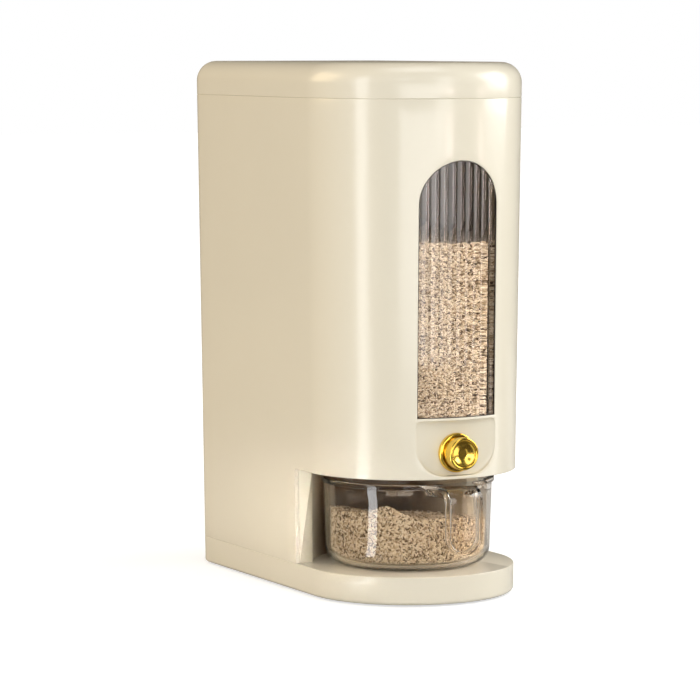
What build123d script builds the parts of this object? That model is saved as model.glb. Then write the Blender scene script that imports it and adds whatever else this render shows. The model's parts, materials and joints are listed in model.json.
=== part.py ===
from build123d import *
import os
from math import asin, ceil, cos, degrees, floor, radians, sin, tan

# Rice dispenser: a tall D-plan housing on a base tray, with a lift-off lid, a fluted window, a push button that
# draws a gate under the hopper, and a measuring cup that stands in an open bay.
# Millimetres. X to the right, -Y to the front, +Z up; the origin is the centre of the footprint on the floor.

# Overall form
WIDTH = 175.0            # outside width at its widest, where the lid's edge starts to round
DEPTH = 305.0            # rear wall to the front of the cup's handle
HEIGHT = 410.0
DRAFT = 0.75             # lean of every outside wall, degrees
REAR_CORNER = 20.0       # plan radius of the rear corners at the widest level
HANDLE_LEAD = 6.0        # the cup's handle stands this far ahead of the body
DECK_Z = 23.0            # top of the base tray, where the cup stands
BAY_TOP = 97.0           # lower edge of the housing above the cup
LID_HEIGHT = 27.0
WALL = 3.0
FIT = 0.3                # gap between a moulding and the wall that it fits into
PART_GAP = 0.2           # gap between small parts that lie together
CUT = 1.0                # how far a cutting solid runs past the face that it cuts

# Base tray
DECK_THICK = 3.0
FOOT_PROUD = 1.5         # how far the feet stand below the tray
FOOT_RADIUS = 8.0
FOOT_THICK = 3.0
FOOT_PAD_RADIUS = 11.0
FOOT_MARGIN = 30.0       # from the outside wall in to each foot's centre
FRONT_FOOT_SWING = 58.0  # degrees off the front, round the front curve
TRAY_RIB = 2.0
TRAY_RIB_PITCH_X = 40.0
TRAY_RIB_PITCH_Y = 48.0
TRAY_EDGE = 3.0          # rounding of the lower outside edge
SEAM_EDGE = 0.8          # rounding beside each seam between mouldings

# Screws and their bosses
SCREW_RADIUS = 1.6
SCREW_HEAD_RADIUS = 3.2
SCREW_HEAD = 2.0
SCREW_GAP = 0.15
BASE_SCREW_BITE = 14.0   # length above the deck's underside
BOSS_RADIUS = 4.2
BOSS_HEIGHT = 20.0
CROWN = 3.4              # height of a screw boss above its screw's tip

# Bay and alcove
BAY_BEHIND_AXIS = 28.5   # from the cup's axis back to the column faces beside it
COLUMN_MARGIN = 13.5     # the alcove is this much smaller in radius than the body
LINER_WALL = 2.5
LINER_LEDGE = 4.5        # how far the ceiling runs past the alcove's wall
CEILING_RECESS = 0.5     # the ceiling sits this far above the housing's lower edge
REAR_BOSS_SWING = 25.0   # degrees off the rear, for the bosses behind the alcove

# Button and the flat recess round it
RECESS_DEPTH = 7.9       # at the middle of the front curve, level with the button
RECESS_RISE = 24.1       # from the button's axis up to the recess's top
RECESS_LIP = 2.4         # below the recess, above the bay
RECESS_CORNER = 24.0
RECESS_TOP_CORNER = 3.0
BEZEL_FLANGE = 1.0       # how far the bezel's flange covers the wall round its hole
BEZEL_TAPER = 1.2
BEZEL_BULGE = 0.35
BEZEL_PROUD = 4.0
SLEEVE_WALL = 1.3
SLEEVE_LENGTH = 10.0     # behind the recess face
NUT_BAND = 2.4
NUT_THICK = 4.0
CAP_RADIUS = 12.4
CAP_WALL = 2.4
CAP_FLOOR = 6.5
CAP_EDGE = 1.6
CAP_REST = 0.5           # how far the pressed cap still stands out of the bezel
DISH_MARGIN = 2.1
DISH_DEPTH = 3.0

# Window
WINDOW_HALF = 33.4
WINDOW_BELOW_LID = 46.0
WINDOW_BESIDE = 1.0      # the recess is wider than the window by this on each side
GASKET_LIP = 0.8
GASKET_THICK = 0.6
PANE_SET_BACK = 0.7      # crests of the flutes below the housing's surface
FLUTE_COUNT = 9
FLUTE_RADIUS = 5.6
FLUTE_DEPTH = 1.5
PANE_FLANGE = 6.0        # how far the pane's flange reaches past the opening
PANE_FLANGE_THICK = 1.8
RETAINER_RIM = 5.0
RETAINER_THICK = 2.0

# Rod and return spring
ROD_RADIUS = 3.0
ROD_SPIGOT = 3.0
ROD_SPIGOT_RADIUS = 2.4
ROD_BORE_RADIUS = 1.5
CAP_REAR_GAP = 5.0       # behind the cap when it is pressed
UPRIGHT_THICK = 3.0
UPRIGHT_HALF = 12.0
UPRIGHT_CROWN = 4.8      # above the rod
GUSSET_REACH = 7.0
WASHER_THICK = 0.8
SPRING_CLEAR = 3.0       # inside the cap's bore
SPRING_WIRE = 0.6
SPRING_TURNS = 6.0

# Outlet and gate
SLOT_HALF = 25.0         # half the outlet's length across the body
SLOT_WIDTH = 9.0         # its width along the gate's stroke
GATE_LAP = 1.0           # how far the shut gate overlaps the outlet's edge
GATE_THICK = 2.0
GATE_MARGIN = 6.5        # beside the slot
GATE_TAIL = 8.5          # behind the outlet when the gate is shut
GUIDE_FLOOR = 2.0
GUIDE_GAP = 0.3          # under the gate plate
GATE_HEADROOM = 0.7      # over the gate plate
RAIL_SIDE_GAP = 0.5
RAIL_WIDTH = 8.0
GUIDE_MARGIN = 2.0
LUG_HALF = 7.0
LUG_THICK = 3.0
FLANGE_MARGIN = 12.0     # hopper flange round the seal, fore and aft
FLANGE_THICK = 2.5
SEAL_THICK = 1.5
SEAL_BAND = 3.0
SEAL_RECESS = 1.0
FLANGE_SCREW_INSET = 4.0
HOPPER_BOSS = 8.0
GUIDE_SCREW_BEHIND = 6.0 # behind the upright's front face
GUIDE_BOSS = 6.0

# Hopper
NECK_HEIGHT = 17.0
NECK_MARGIN = 1.5        # the neck's bore is wider than the slot by this on each side
HOPPER_WALL = 2.5
HOPPER_RIM = 9.0
REAR_SLOPE = 30.0        # degrees
SIDE_SLOPE = 35.0
RIB_SPACING = 40.0       # from the centre to each rib under the rear slope
RIB_REACH = 32.0

# Lid
LID_EDGE = 16.0          # radius of the top edge
LID_WALL = 2.6
SKIRT_DEPTH = 12.0
SKIRT_GAP = 1.2          # between the skirt and the housing's wall
SKIRT_THICK = 2.2
LID_SEAL_BELOW = 8.0     # from the seam down to the seal's lower face
LID_SEAL_HEIGHT = 4.0
LID_SEAL_DEPTH = 1.0     # how far the seal sits in its groove

# Measuring cup
CUP_SIDE_GAP = 6.7       # between the cup's rim and the alcove
CUP_BEAD = 1.8           # how far the rim stands out from the wall
CUP_TAPER = 2.0
CUP_HEADROOM = 6.0
CUP_RIM_HEIGHT = 4.2
CUP_WALL = 3.0
CUP_CORNER = 13.0
CUP_GAP = 0.1            # under the cup's foot
CUP_HOLLOW = 0.6         # recess under the cup inside its foot ring
HANDLE_HALF = 14.0
HANDLE_ROOT_HALF = 24.5
HANDLE_ABOVE_DECK = 17.0
HANDLE_THICK = 2.5
HANDLE_FLANGE = 8.0
HANDLE_RIM = 2.2
HANDLE_BEND = 12.0
HANDLE_FLARE = 17.0      # height over which the tongue widens into the rim

# Places that follow from the sizes above
BIG = 4 * WIDTH
SLOPE = tan(radians(DRAFT))
WIDEST = HEIGHT - LID_EDGE
REAR_Y = DEPTH / 2
HANDLE_FRONT = -DEPTH / 2
AXIS_Y = HANDLE_FRONT + HANDLE_LEAD + WIDTH / 2  # one upright axis for the front curve, the cup and the alcove
LID_SEAM = HEIGHT - LID_HEIGHT
BAY_Y = AXIS_Y + BAY_BEHIND_AXIS
ALCOVE_RADIUS = WIDTH / 2 - COLUMN_MARGIN
LINER_REAR = AXIS_Y + ALCOVE_RADIUS + LINER_WALL + LINER_LEDGE
CUP_RIM_RADIUS = ALCOVE_RADIUS - CUP_SIDE_GAP
CUP_RADIUS = CUP_RIM_RADIUS - CUP_BEAD
CUP_BASE_RADIUS = CUP_RADIUS - CUP_TAPER
CUP_TOP = BAY_TOP - CUP_HEADROOM
HANDLE_BOTTOM = DECK_Z + HANDLE_ABOVE_DECK
CEILING_Z = BAY_TOP + CEILING_RECESS
GUIDE_Z = CEILING_Z + LINER_WALL
GUIDE_TOP = GUIDE_Z + GUIDE_FLOOR
GATE_Z = GUIDE_TOP + GUIDE_GAP
FLANGE_Z = GATE_Z + GATE_THICK + GATE_HEADROOM
NECK_TOP = FLANGE_Z + NECK_HEIGHT
NECK_HALF_X = SLOT_HALF + NECK_MARGIN
NECK_HALF_Y = SLOT_WIDTH / 2 + NECK_MARGIN
TRAVEL = SLOT_WIDTH + GATE_LAP                   # stroke of the button, the rod and the gate
SLEEVE_RADIUS = CAP_RADIUS + FIT + SLEEVE_WALL
NUT_RADIUS = SLEEVE_RADIUS + NUT_BAND
BUTTON_Z = GUIDE_Z + NUT_RADIUS                  # the nut behind the wall clears the bay's ceiling
RECESS_TOP = BUTTON_Z + RECESS_RISE
RECESS_BOTTOM = BAY_TOP + RECESS_LIP
RECESS_HALF = WINDOW_HALF + WINDOW_BESIDE
WINDOW_BOTTOM = RECESS_TOP + WALL
WINDOW_TOP = LID_SEAM - WINDOW_BELOW_LID
RECESS_Y = AXIS_Y - WIDTH / 2 + (WIDEST - BUTTON_Z) * SLOPE + RECESS_DEPTH
SHELF_Y = RECESS_Y + WALL
BEZEL_RADIUS = SLEEVE_RADIUS + BEZEL_FLANGE
BEZEL_NOSE_RADIUS = BEZEL_RADIUS - BEZEL_TAPER
CAP_PROUD = BEZEL_PROUD + TRAVEL + CAP_REST
CAP_LENGTH = CAP_PROUD + SLEEVE_LENGTH
CAP_BORE_RADIUS = CAP_RADIUS - CAP_WALL
DISH_RADIUS = CAP_RADIUS - DISH_MARGIN
SPRING_RADIUS = CAP_BORE_RADIUS - SPRING_CLEAR
GUIDE_FACE_Y = RECESS_Y + SLEEVE_LENGTH + TRAVEL + CAP_REAR_GAP
GUIDE_FRONT = GUIDE_FACE_Y - GUIDE_MARGIN
GATE_FRONT = GUIDE_FACE_Y + UPRIGHT_THICK + GUSSET_REACH + RAIL_SIDE_GAP
GATE_REAR = AXIS_Y + SLOT_WIDTH / 2 + GATE_TAIL
GATE_HALF = SLOT_HALF + GATE_MARGIN
RAIL_INNER = GATE_HALF + RAIL_SIDE_GAP
RAIL_OUTER = RAIL_INNER + RAIL_WIDTH
FLANGE_HALF_Y = NECK_HALF_Y + SEAL_BAND + FLANGE_MARGIN
GUIDE_REAR = AXIS_Y + FLANGE_HALF_Y + GUIDE_MARGIN
HOPPER_SCREW_X = (RAIL_INNER + RAIL_OUTER) / 2
HOPPER_SCREW_Y = FLANGE_HALF_Y - FLANGE_SCREW_INSET
GUIDE_SCREW_X = RAIL_INNER - GUIDE_MARGIN
GUIDE_SCREW_Y = GUIDE_FACE_Y + GUIDE_SCREW_BEHIND
SKIRT_INSET = WALL + SKIRT_GAP
SEAL_Z = LID_SEAM - LID_SEAL_BELOW


def half_width(z):
    """Half of the outside width at height z."""
    return WIDTH / 2 - (WIDEST - z) * SLOPE


def rear_at(z):
    """Y of the rear wall at height z."""
    return REAR_Y - (WIDEST - z) * SLOPE


def plan(z, inset=0.0):
    """D-shaped plan at height z, inset from the outside."""
    r = half_width(z) - inset
    corner = max(REAR_CORNER - (WIDEST - z) * SLOPE - inset, CUT)
    rear = rear_at(z) - inset
    turn = rear - corner
    outline = [
        CenterArc((0, AXIS_Y), r, 180, 180),
        Line((r, AXIS_Y), (r, turn)),
        CenterArc((r - corner, turn), corner, 0, 90),
        Line((r - corner, rear), (corner - r, rear)),
        CenterArc((corner - r, turn), corner, 90, 90),
        Line((-r, turn), (-r, AXIS_Y)),
    ]
    return make_face(outline)


def block(z0, z1, inset=0.0):
    """Solid length of the body from z0 to z1, with its walls leaning in towards the base."""
    upside_down = extrude(Rot(0, 0, 180) * plan(z1, inset), z1 - z0, taper=DRAFT)
    return Pos(0, 0, z1) * Rot(180, 0, 0) * upside_down


def ring(z0, z1, outer, inner):
    """Band of the body's wall between two insets."""
    return block(z0, z1, outer) - block(z0 - CUT, z1 + CUT, inner)


def slab(x0, x1, y0, y1, z0, z1):
    """Box between two corners."""
    return Pos((x0 + x1) / 2, (y0 + y1) / 2, (z0 + z1) / 2) * Box(x1 - x0, y1 - y0, z1 - z0)


def post(x, y, z0, z1, radius):
    """Upright cylinder."""
    return Pos(x, y, (z0 + z1) / 2) * Cylinder(radius, z1 - z0)


def drum(y0, y1, radius, x=0.0, z=BUTTON_Z):
    """Cylinder along Y, on the button's axis by default."""
    return Pos(x, (y0 + y1) / 2, z) * Rot(90, 0, 0) * Cylinder(radius, y1 - y0)


def to_front(sketch, y_start, depth=BIG):
    """Prism of a front-view sketch (x, z) from y_start forwards."""
    return extrude(Plane.XZ.offset(-y_start) * sketch, depth)


def turned_on_y(points, z=BUTTON_Z):
    """Turned piece about the button's axis, from (radius, y) points."""
    profile = make_face(Polyline(*points, close=True))
    return Pos(0, 0, z) * revolve(profile, Axis.Y)


def both_sides(spots):
    """Each (x, y) spot and its mirror image."""
    return [(side * x, y) for x, y in spots for side in (1, -1)]


def shell_boss_spots():
    """Screw bosses on the housing's inside wall."""
    inner = half_width(DECK_Z) - WALL - BOSS_RADIUS + CUT
    rear = rear_at(DECK_Z) - WALL - BOSS_RADIUS + CUT
    return both_sides(((inner, 0.4 * rear), (0.6 * inner, rear)))


def liner_boss_spots():
    """Screw bosses behind the columns and behind the alcove's wall."""
    beside = half_width(DECK_Z) - WALL - FIT - BOSS_RADIUS - CUT
    behind = ALCOVE_RADIUS + LINER_WALL + BOSS_RADIUS - CUT
    swing = radians(REAR_BOSS_SWING)
    return both_sides(((beside, BAY_Y + LINER_WALL + BOSS_RADIUS - CUT),
                       (behind * sin(swing), AXIS_Y + behind * cos(swing))))


def foot_spots():
    """Centres of the feet: two round the front curve and two at the rear."""
    reach = WIDTH / 2 - FOOT_MARGIN
    swing = radians(FRONT_FOOT_SWING)
    return both_sides(((reach * sin(swing), AXIS_Y - reach * cos(swing)), (reach, REAR_Y - FOOT_MARGIN)))


def rib_lines(low, high, middle, pitch):
    """Places at one pitch on both sides of a middle place, between two limits."""
    first = ceil((low - middle) / pitch)
    last = floor((high - middle) / pitch)
    return [middle + step * pitch for step in range(first, last + 1)]


def hopper_screw_spots():
    return both_sides(((HOPPER_SCREW_X, AXIS_Y + HOPPER_SCREW_Y), (HOPPER_SCREW_X, AXIS_Y - HOPPER_SCREW_Y)))


def guide_screw_spots():
    return both_sides(((GUIDE_SCREW_X, GUIDE_SCREW_Y),))


def arch(grow=0.0, bottom=None):
    """Front view of the window: straight sides and a round head, grown outwards."""
    half = WINDOW_HALF + grow
    low = WINDOW_BOTTOM - grow if bottom is None else bottom
    spring = WINDOW_TOP - WINDOW_HALF
    outline = [
        Line((-half, low), (half, low)),
        Line((half, low), (half, spring)),
        ThreePointArc((half, spring), (0, spring + half), (-half, spring)),
        Line((-half, spring), (-half, low)),
    ]
    return make_face(outline)


def recess(grow=0.0):
    """Front view of the flat recess for the button, grown outwards."""
    width = 2 * (RECESS_HALF + grow)
    height = RECESS_TOP - RECESS_BOTTOM + 2 * grow
    face = Pos(0, (RECESS_TOP + RECESS_BOTTOM) / 2) * Rectangle(width, height)
    face = fillet(face.vertices().group_by(Axis.Y)[0], RECESS_CORNER + grow)
    return fillet(face.vertices().group_by(Axis.Y)[-1], RECESS_TOP_CORNER)


def recess_backing(gap=0.0):
    """The thickened wall behind the flat recess, with a gap round it for what fits beside it."""
    prism = to_front(recess(WALL + gap), SHELF_Y + gap)
    return block(BAY_TOP - WALL, WINDOW_BOTTOM + WALL) & prism


def funnel(rise=0.0):
    """Space inside the sloping floors, moved up by rise."""
    high = HEIGHT
    up = high - NECK_TOP
    front_run = up * (SHELF_Y - AXIS_Y + NECK_HALF_Y) / (NECK_TOP - WINDOW_BOTTOM)
    rear_run = up / tan(radians(REAR_SLOPE))
    side_run = up / tan(radians(SIDE_SLOPE))
    along = Polyline(
        (AXIS_Y - NECK_HALF_Y, NECK_TOP), (AXIS_Y - NECK_HALF_Y - front_run, high),
        (AXIS_Y + NECK_HALF_Y + rear_run, high), (AXIS_Y + NECK_HALF_Y, NECK_TOP), close=True)
    across = Polyline(
        (-NECK_HALF_X, NECK_TOP), (-NECK_HALF_X - side_run, high),
        (NECK_HALF_X + side_run, high), (NECK_HALF_X, NECK_TOP), close=True)
    lengthwise = extrude(Plane.YZ * make_face(along), BIG, both=True)
    crosswise = extrude(Plane.XZ * make_face(across), BIG, both=True)
    return Pos(0, 0, rise) * (lengthwise & crosswise)


def base_tray():
    """Deck, skirt, ribs, screw holes and foot pads in one moulding."""
    outside = block(FOOT_PROUD, DECK_Z)
    outside = fillet(outside.edges().group_by(Axis.Z)[-1], SEAM_EDGE)
    outside = fillet(outside.edges().group_by(Axis.Z)[0], TRAY_EDGE)
    hollow = block(FOOT_PROUD - CUT, DECK_Z - DECK_THICK, WALL)
    ribs = Part()
    for x in rib_lines(-WIDTH / 2, WIDTH / 2, 0, TRAY_RIB_PITCH_X):
        ribs += slab(x - TRAY_RIB / 2, x + TRAY_RIB / 2, -BIG, BIG, FOOT_PROUD + WALL, DECK_Z - DECK_THICK)
    for y in rib_lines(AXIS_Y - WIDTH / 2, REAR_Y, AXIS_Y, TRAY_RIB_PITCH_Y):
        ribs += slab(-BIG, BIG, y - TRAY_RIB / 2, y + TRAY_RIB / 2, FOOT_PROUD + WALL, DECK_Z - DECK_THICK)
    for x, y in foot_spots():
        ribs += post(x, y, FOOT_PROUD, DECK_Z - DECK_THICK, FOOT_PAD_RADIUS)
    tray = outside - (hollow - ribs)
    for x, y in foot_spots():
        tray -= post(x, y, 0, FOOT_THICK, FOOT_RADIUS + SCREW_GAP)
    for x, y in shell_boss_spots() + liner_boss_spots():
        tray -= post(x, y, DECK_Z - DECK_THICK - CUT, DECK_Z + CUT, SCREW_RADIUS + SCREW_GAP)
        tray -= post(x, y, FOOT_PROUD - CUT, DECK_Z - DECK_THICK, SCREW_HEAD_RADIUS + CUT)
    return tray


def rubber_feet():
    feet = Part()
    for x, y in foot_spots():
        feet += post(x, y, 0, FOOT_THICK, FOOT_RADIUS)
    return feet


def pan_screw(x, y, seat, length):
    """Upright pan-head screw whose head bears upwards on the level called seat."""
    return post(x, y, seat - SCREW_HEAD, seat, SCREW_HEAD_RADIUS) + post(x, y, seat, seat + length, SCREW_RADIUS)


def base_screws():
    screws = Part()
    for x, y in shell_boss_spots() + liner_boss_spots():
        screws += pan_screw(x, y, DECK_Z - DECK_THICK, BASE_SCREW_BITE)
    return screws


def housing_shell():
    """Tall outer wall with the window opening, the button recess and the bay cut."""
    outside = block(DECK_Z, LID_SEAM)
    shell = outside - block(DECK_Z - CUT, LID_SEAM + CUT, WALL)
    shell += recess_backing()
    for x, y in shell_boss_spots():
        shell += post(x, y, DECK_Z, DECK_Z + BOSS_HEIGHT, BOSS_RADIUS) & outside
    for side in (1, -1):
        shell += rear_rib(side * RIB_SPACING)
    shell -= slab(-BIG, BIG, -BIG, BAY_Y, DECK_Z - CUT, BAY_TOP)
    shell -= to_front(recess(), RECESS_Y)
    shell -= to_front(arch(), AXIS_Y)
    shell -= drum(RECESS_Y - CUT, SHELF_Y + CUT, SLEEVE_RADIUS + PART_GAP)
    for x, y in shell_boss_spots():
        shell -= post(x, y, DECK_Z - CUT, DECK_Z + BOSS_HEIGHT - CROWN, SCREW_RADIUS + SCREW_GAP)
    return shell


def rear_rib(x):
    """Upright rib on the rear wall that carries the hopper's rear slope."""
    run = rear_at(LID_SEAM) - WALL - AXIS_Y - NECK_HALF_Y
    wall_z = NECK_TOP + run * tan(radians(REAR_SLOPE)) - HOPPER_WALL / cos(radians(REAR_SLOPE)) - FIT
    inner_y = rear_at(LID_SEAM) - WALL - RIB_REACH
    inner_z = wall_z - RIB_REACH * tan(radians(REAR_SLOPE))
    corner = rear_at(LID_SEAM) - WALL
    profile = Polyline((inner_y, inner_z), (corner, wall_z), (corner, inner_z - 2 * RIB_REACH), close=True)
    rib = extrude(Plane.YZ.offset(x) * make_face(profile), TRAY_RIB / 2, both=True)
    return rib & block(DECK_Z, LID_SEAM, WALL / 2)


def bay_liner():
    """Alcove wall, column faces and the ceiling over the cup."""
    inside = block(DECK_Z, GUIDE_Z, WALL + FIT)
    ceiling = inside & slab(-BIG, BIG, -BIG, LINER_REAR, CEILING_Z, GUIDE_Z)
    behind = slab(-BIG, BIG, BAY_Y, LINER_REAR, DECK_Z, CEILING_Z)
    alcove = post(0, AXIS_Y, DECK_Z, CEILING_Z, ALCOVE_RADIUS + LINER_WALL) & behind
    columns = inside & slab(-BIG, BIG, BAY_Y, BAY_Y + LINER_WALL, DECK_Z, CEILING_Z)
    liner = ceiling + alcove + columns
    for x, y in liner_boss_spots():
        liner += post(x, y, DECK_Z, DECK_Z + BOSS_HEIGHT, BOSS_RADIUS)
    liner -= post(0, AXIS_Y, DECK_Z - CUT, CEILING_Z, ALCOVE_RADIUS)
    for x, y in liner_boss_spots():
        liner -= post(x, y, DECK_Z - CUT, DECK_Z + BOSS_HEIGHT - CROWN, SCREW_RADIUS + SCREW_GAP)
    liner -= slab(-SLOT_HALF, SLOT_HALF, AXIS_Y - SLOT_WIDTH / 2, AXIS_Y + SLOT_WIDTH / 2, BAY_TOP, GUIDE_Z + CUT)
    for x, y in hopper_screw_spots() + guide_screw_spots():
        liner -= countersunk(x, y, GUIDE_Z + CUT - CEILING_Z, SCREW_GAP)
    return liner - recess_backing(FIT)


def countersunk(x, y, length, gap=0.0):
    """Upright countersunk screw with its head in the ceiling's underside."""
    head = Pos(x, y, CEILING_Z + SCREW_RADIUS / 2) * Cone(
        2 * SCREW_RADIUS + gap, SCREW_RADIUS + gap, SCREW_RADIUS)
    return head + post(x, y, CEILING_Z, CEILING_Z + length, SCREW_RADIUS + gap)


def hopper_screws():
    screws = Part()
    length = FLANGE_Z + FLANGE_THICK + HOPPER_BOSS - CROWN - CEILING_Z
    for x, y in hopper_screw_spots():
        screws += countersunk(x, y, length)
    return screws


def guide_screws():
    screws = Part()
    length = GUIDE_TOP + GUIDE_BOSS - CROWN - CEILING_Z
    for x, y in guide_screw_spots():
        screws += countersunk(x, y, length)
    return screws


def gate_guide():
    """Floor and rails of the gate, and the upright that carries the push rod."""
    guide = slab(-RAIL_OUTER, RAIL_OUTER, GUIDE_FRONT, GUIDE_REAR, GUIDE_Z, GUIDE_TOP)
    for side in (1, -1):
        edges = sorted((side * RAIL_INNER, side * RAIL_OUTER))
        guide += slab(edges[0], edges[1], GATE_FRONT, GUIDE_REAR, GUIDE_TOP, FLANGE_Z)
    upright_top = BUTTON_Z + ROD_RADIUS + UPRIGHT_CROWN
    back = GUIDE_FACE_Y + UPRIGHT_THICK
    guide += slab(-UPRIGHT_HALF, UPRIGHT_HALF, GUIDE_FACE_Y, back, GUIDE_Z, upright_top)
    for side in (1, -1):
        guide += upright_gusset(side * (UPRIGHT_HALF - UPRIGHT_THICK / 2), back, upright_top)
    for x, y in guide_screw_spots():
        guide += post(x, y, GUIDE_TOP, GUIDE_TOP + GUIDE_BOSS, BOSS_RADIUS)
        guide -= post(x, y, GUIDE_Z - CUT, GUIDE_TOP + GUIDE_BOSS - CROWN + CUT, SCREW_RADIUS + SCREW_GAP)
    for x, y in hopper_screw_spots():
        guide -= post(x, y, GUIDE_Z - CUT, FLANGE_Z + CUT, SCREW_RADIUS + SCREW_GAP)
    guide -= slab(-SLOT_HALF, SLOT_HALF, AXIS_Y - SLOT_WIDTH / 2, AXIS_Y + SLOT_WIDTH / 2,
                  GUIDE_Z - CUT, GUIDE_TOP + CUT)
    return guide - drum(GUIDE_FACE_Y - CUT, back + CUT, ROD_RADIUS + FIT)


def upright_gusset(x, y, top):
    """Triangular web behind the rod's upright."""
    profile = Polyline((y, GUIDE_TOP), (y + GUSSET_REACH, GUIDE_TOP), (y, top), close=True)
    return extrude(Plane.YZ.offset(x) * make_face(profile), UPRIGHT_THICK / 2, both=True)


def hopper():
    """Sloping floors with a rim along the walls, down to the outlet neck and its flange."""
    high = NECK_TOP + (REAR_Y - AXIS_Y)
    room = block(GUIDE_Z, high, WALL + FIT)
    inner_room = block(GUIDE_Z, high, WALL + FIT + HOPPER_WALL)
    sink = -HOPPER_WALL / cos(radians(REAR_SLOPE))
    floors = (room & funnel(sink)) - funnel(HOPPER_RIM) - (inner_room & funnel())
    floors -= to_front(arch(PANE_FLANGE + 2 * RETAINER_RIM, WINDOW_BOTTOM), SHELF_Y + RIB_REACH)
    floors -= recess_backing(FIT)
    neck = slab(-NECK_HALF_X - HOPPER_WALL, NECK_HALF_X + HOPPER_WALL,
                AXIS_Y - NECK_HALF_Y - HOPPER_WALL, AXIS_Y + NECK_HALF_Y + HOPPER_WALL, FLANGE_Z, NECK_TOP)
    flange = slab(-RAIL_OUTER, RAIL_OUTER, AXIS_Y - FLANGE_HALF_Y, AXIS_Y + FLANGE_HALF_Y,
                  FLANGE_Z, FLANGE_Z + FLANGE_THICK)
    body = floors + neck + flange
    for x, y in hopper_screw_spots():
        body += post(x, y, FLANGE_Z, FLANGE_Z + FLANGE_THICK + HOPPER_BOSS, BOSS_RADIUS)
    body -= slab(-NECK_HALF_X, NECK_HALF_X, AXIS_Y - NECK_HALF_Y, AXIS_Y + NECK_HALF_Y,
                 FLANGE_Z - CUT, NECK_TOP + CUT)
    body -= seal_block(SEAL_BAND + SCREW_GAP, FLANGE_Z - CUT, FLANGE_Z + SEAL_RECESS)
    for x, y in hopper_screw_spots():
        body -= post(x, y, FLANGE_Z - CUT, FLANGE_Z + FLANGE_THICK + HOPPER_BOSS - CROWN + CUT,
                     SCREW_RADIUS + SCREW_GAP)
    return body


def seal_block(band, z0, z1):
    """Slab round the neck's bore, wider than it by band on every side."""
    return slab(-NECK_HALF_X - band, NECK_HALF_X + band,
                AXIS_Y - NECK_HALF_Y - band, AXIS_Y + NECK_HALF_Y + band, z0, z1)


def outlet_seal():
    """Silicone frame between the hopper's flange and the gate plate."""
    top = FLANGE_Z + SEAL_RECESS
    return seal_block(SEAL_BAND, top - SEAL_THICK, top) - seal_block(0, top - SEAL_THICK - CUT, top + CUT)


def gate_plate():
    """Sliding plate with the slot that meets the outlet when the button is pressed, and the rod's lug."""
    plate = slab(-GATE_HALF, GATE_HALF, GATE_FRONT, GATE_REAR, GATE_Z, GATE_Z + GATE_THICK)
    lug_top = BUTTON_Z + ROD_RADIUS
    plate += slab(-LUG_HALF, LUG_HALF, GATE_FRONT, GATE_FRONT + LUG_THICK, GATE_Z, lug_top)
    plate -= slab(-SLOT_HALF, SLOT_HALF, AXIS_Y - SLOT_WIDTH / 2 - TRAVEL, AXIS_Y + SLOT_WIDTH / 2 - TRAVEL,
                  GATE_Z - CUT, GATE_Z + GATE_THICK + CUT)
    return plate - drum(GATE_FRONT - CUT, GATE_FRONT + LUG_THICK + CUT, ROD_BORE_RADIUS + SCREW_GAP)


def cap_front():
    return RECESS_Y - CAP_PROUD


def cap_seat():
    """Y of the cap's inside floor, where the rod and the spring bear."""
    return cap_front() + DISH_DEPTH + CAP_FLOOR


def button_cap():
    """Push cap with a dished face and a bore that holds the spring."""
    front = cap_front()
    rear = front + CAP_LENGTH
    side = CAP_RADIUS - CAP_EDGE
    outline = [
        ThreePointArc((0, front + DISH_DEPTH), (DISH_RADIUS * 0.6, front + DISH_DEPTH * 0.72), (DISH_RADIUS, front)),
        Line((DISH_RADIUS, front), (side, front)),
        RadiusArc((side, front), (CAP_RADIUS, front + CAP_EDGE), -CAP_EDGE),
        Line((CAP_RADIUS, front + CAP_EDGE), (CAP_RADIUS, rear)),
        Polyline((CAP_RADIUS, rear), (CAP_BORE_RADIUS, rear), (CAP_BORE_RADIUS, cap_seat()),
                 (ROD_SPIGOT_RADIUS + PART_GAP, cap_seat()),
                 (ROD_SPIGOT_RADIUS + PART_GAP, cap_seat() - ROD_SPIGOT), (0, cap_seat() - ROD_SPIGOT),
                 (0, front + DISH_DEPTH)),
    ]
    return Pos(0, 0, BUTTON_Z) * revolve(make_face(outline), Axis.Y)


def push_rod():
    """Rod from the cap to the gate's lug, with a spigot in the cap and a tapped end."""
    rear = GATE_FRONT
    return turned_on_y((
        (0, cap_seat() - ROD_SPIGOT + PART_GAP), (ROD_SPIGOT_RADIUS, cap_seat() - ROD_SPIGOT + PART_GAP),
        (ROD_SPIGOT_RADIUS, cap_seat()), (ROD_RADIUS, cap_seat()), (ROD_RADIUS, rear),
        (ROD_BORE_RADIUS + SCREW_GAP, rear), (ROD_BORE_RADIUS + SCREW_GAP, rear - 2 * LUG_THICK),
        (0, rear - 2 * LUG_THICK)))


def gate_screw():
    seat = GATE_FRONT + LUG_THICK
    return drum(GATE_FRONT - LUG_THICK, seat, ROD_BORE_RADIUS) + drum(seat, seat + SCREW_HEAD, ROD_RADIUS)


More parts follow.
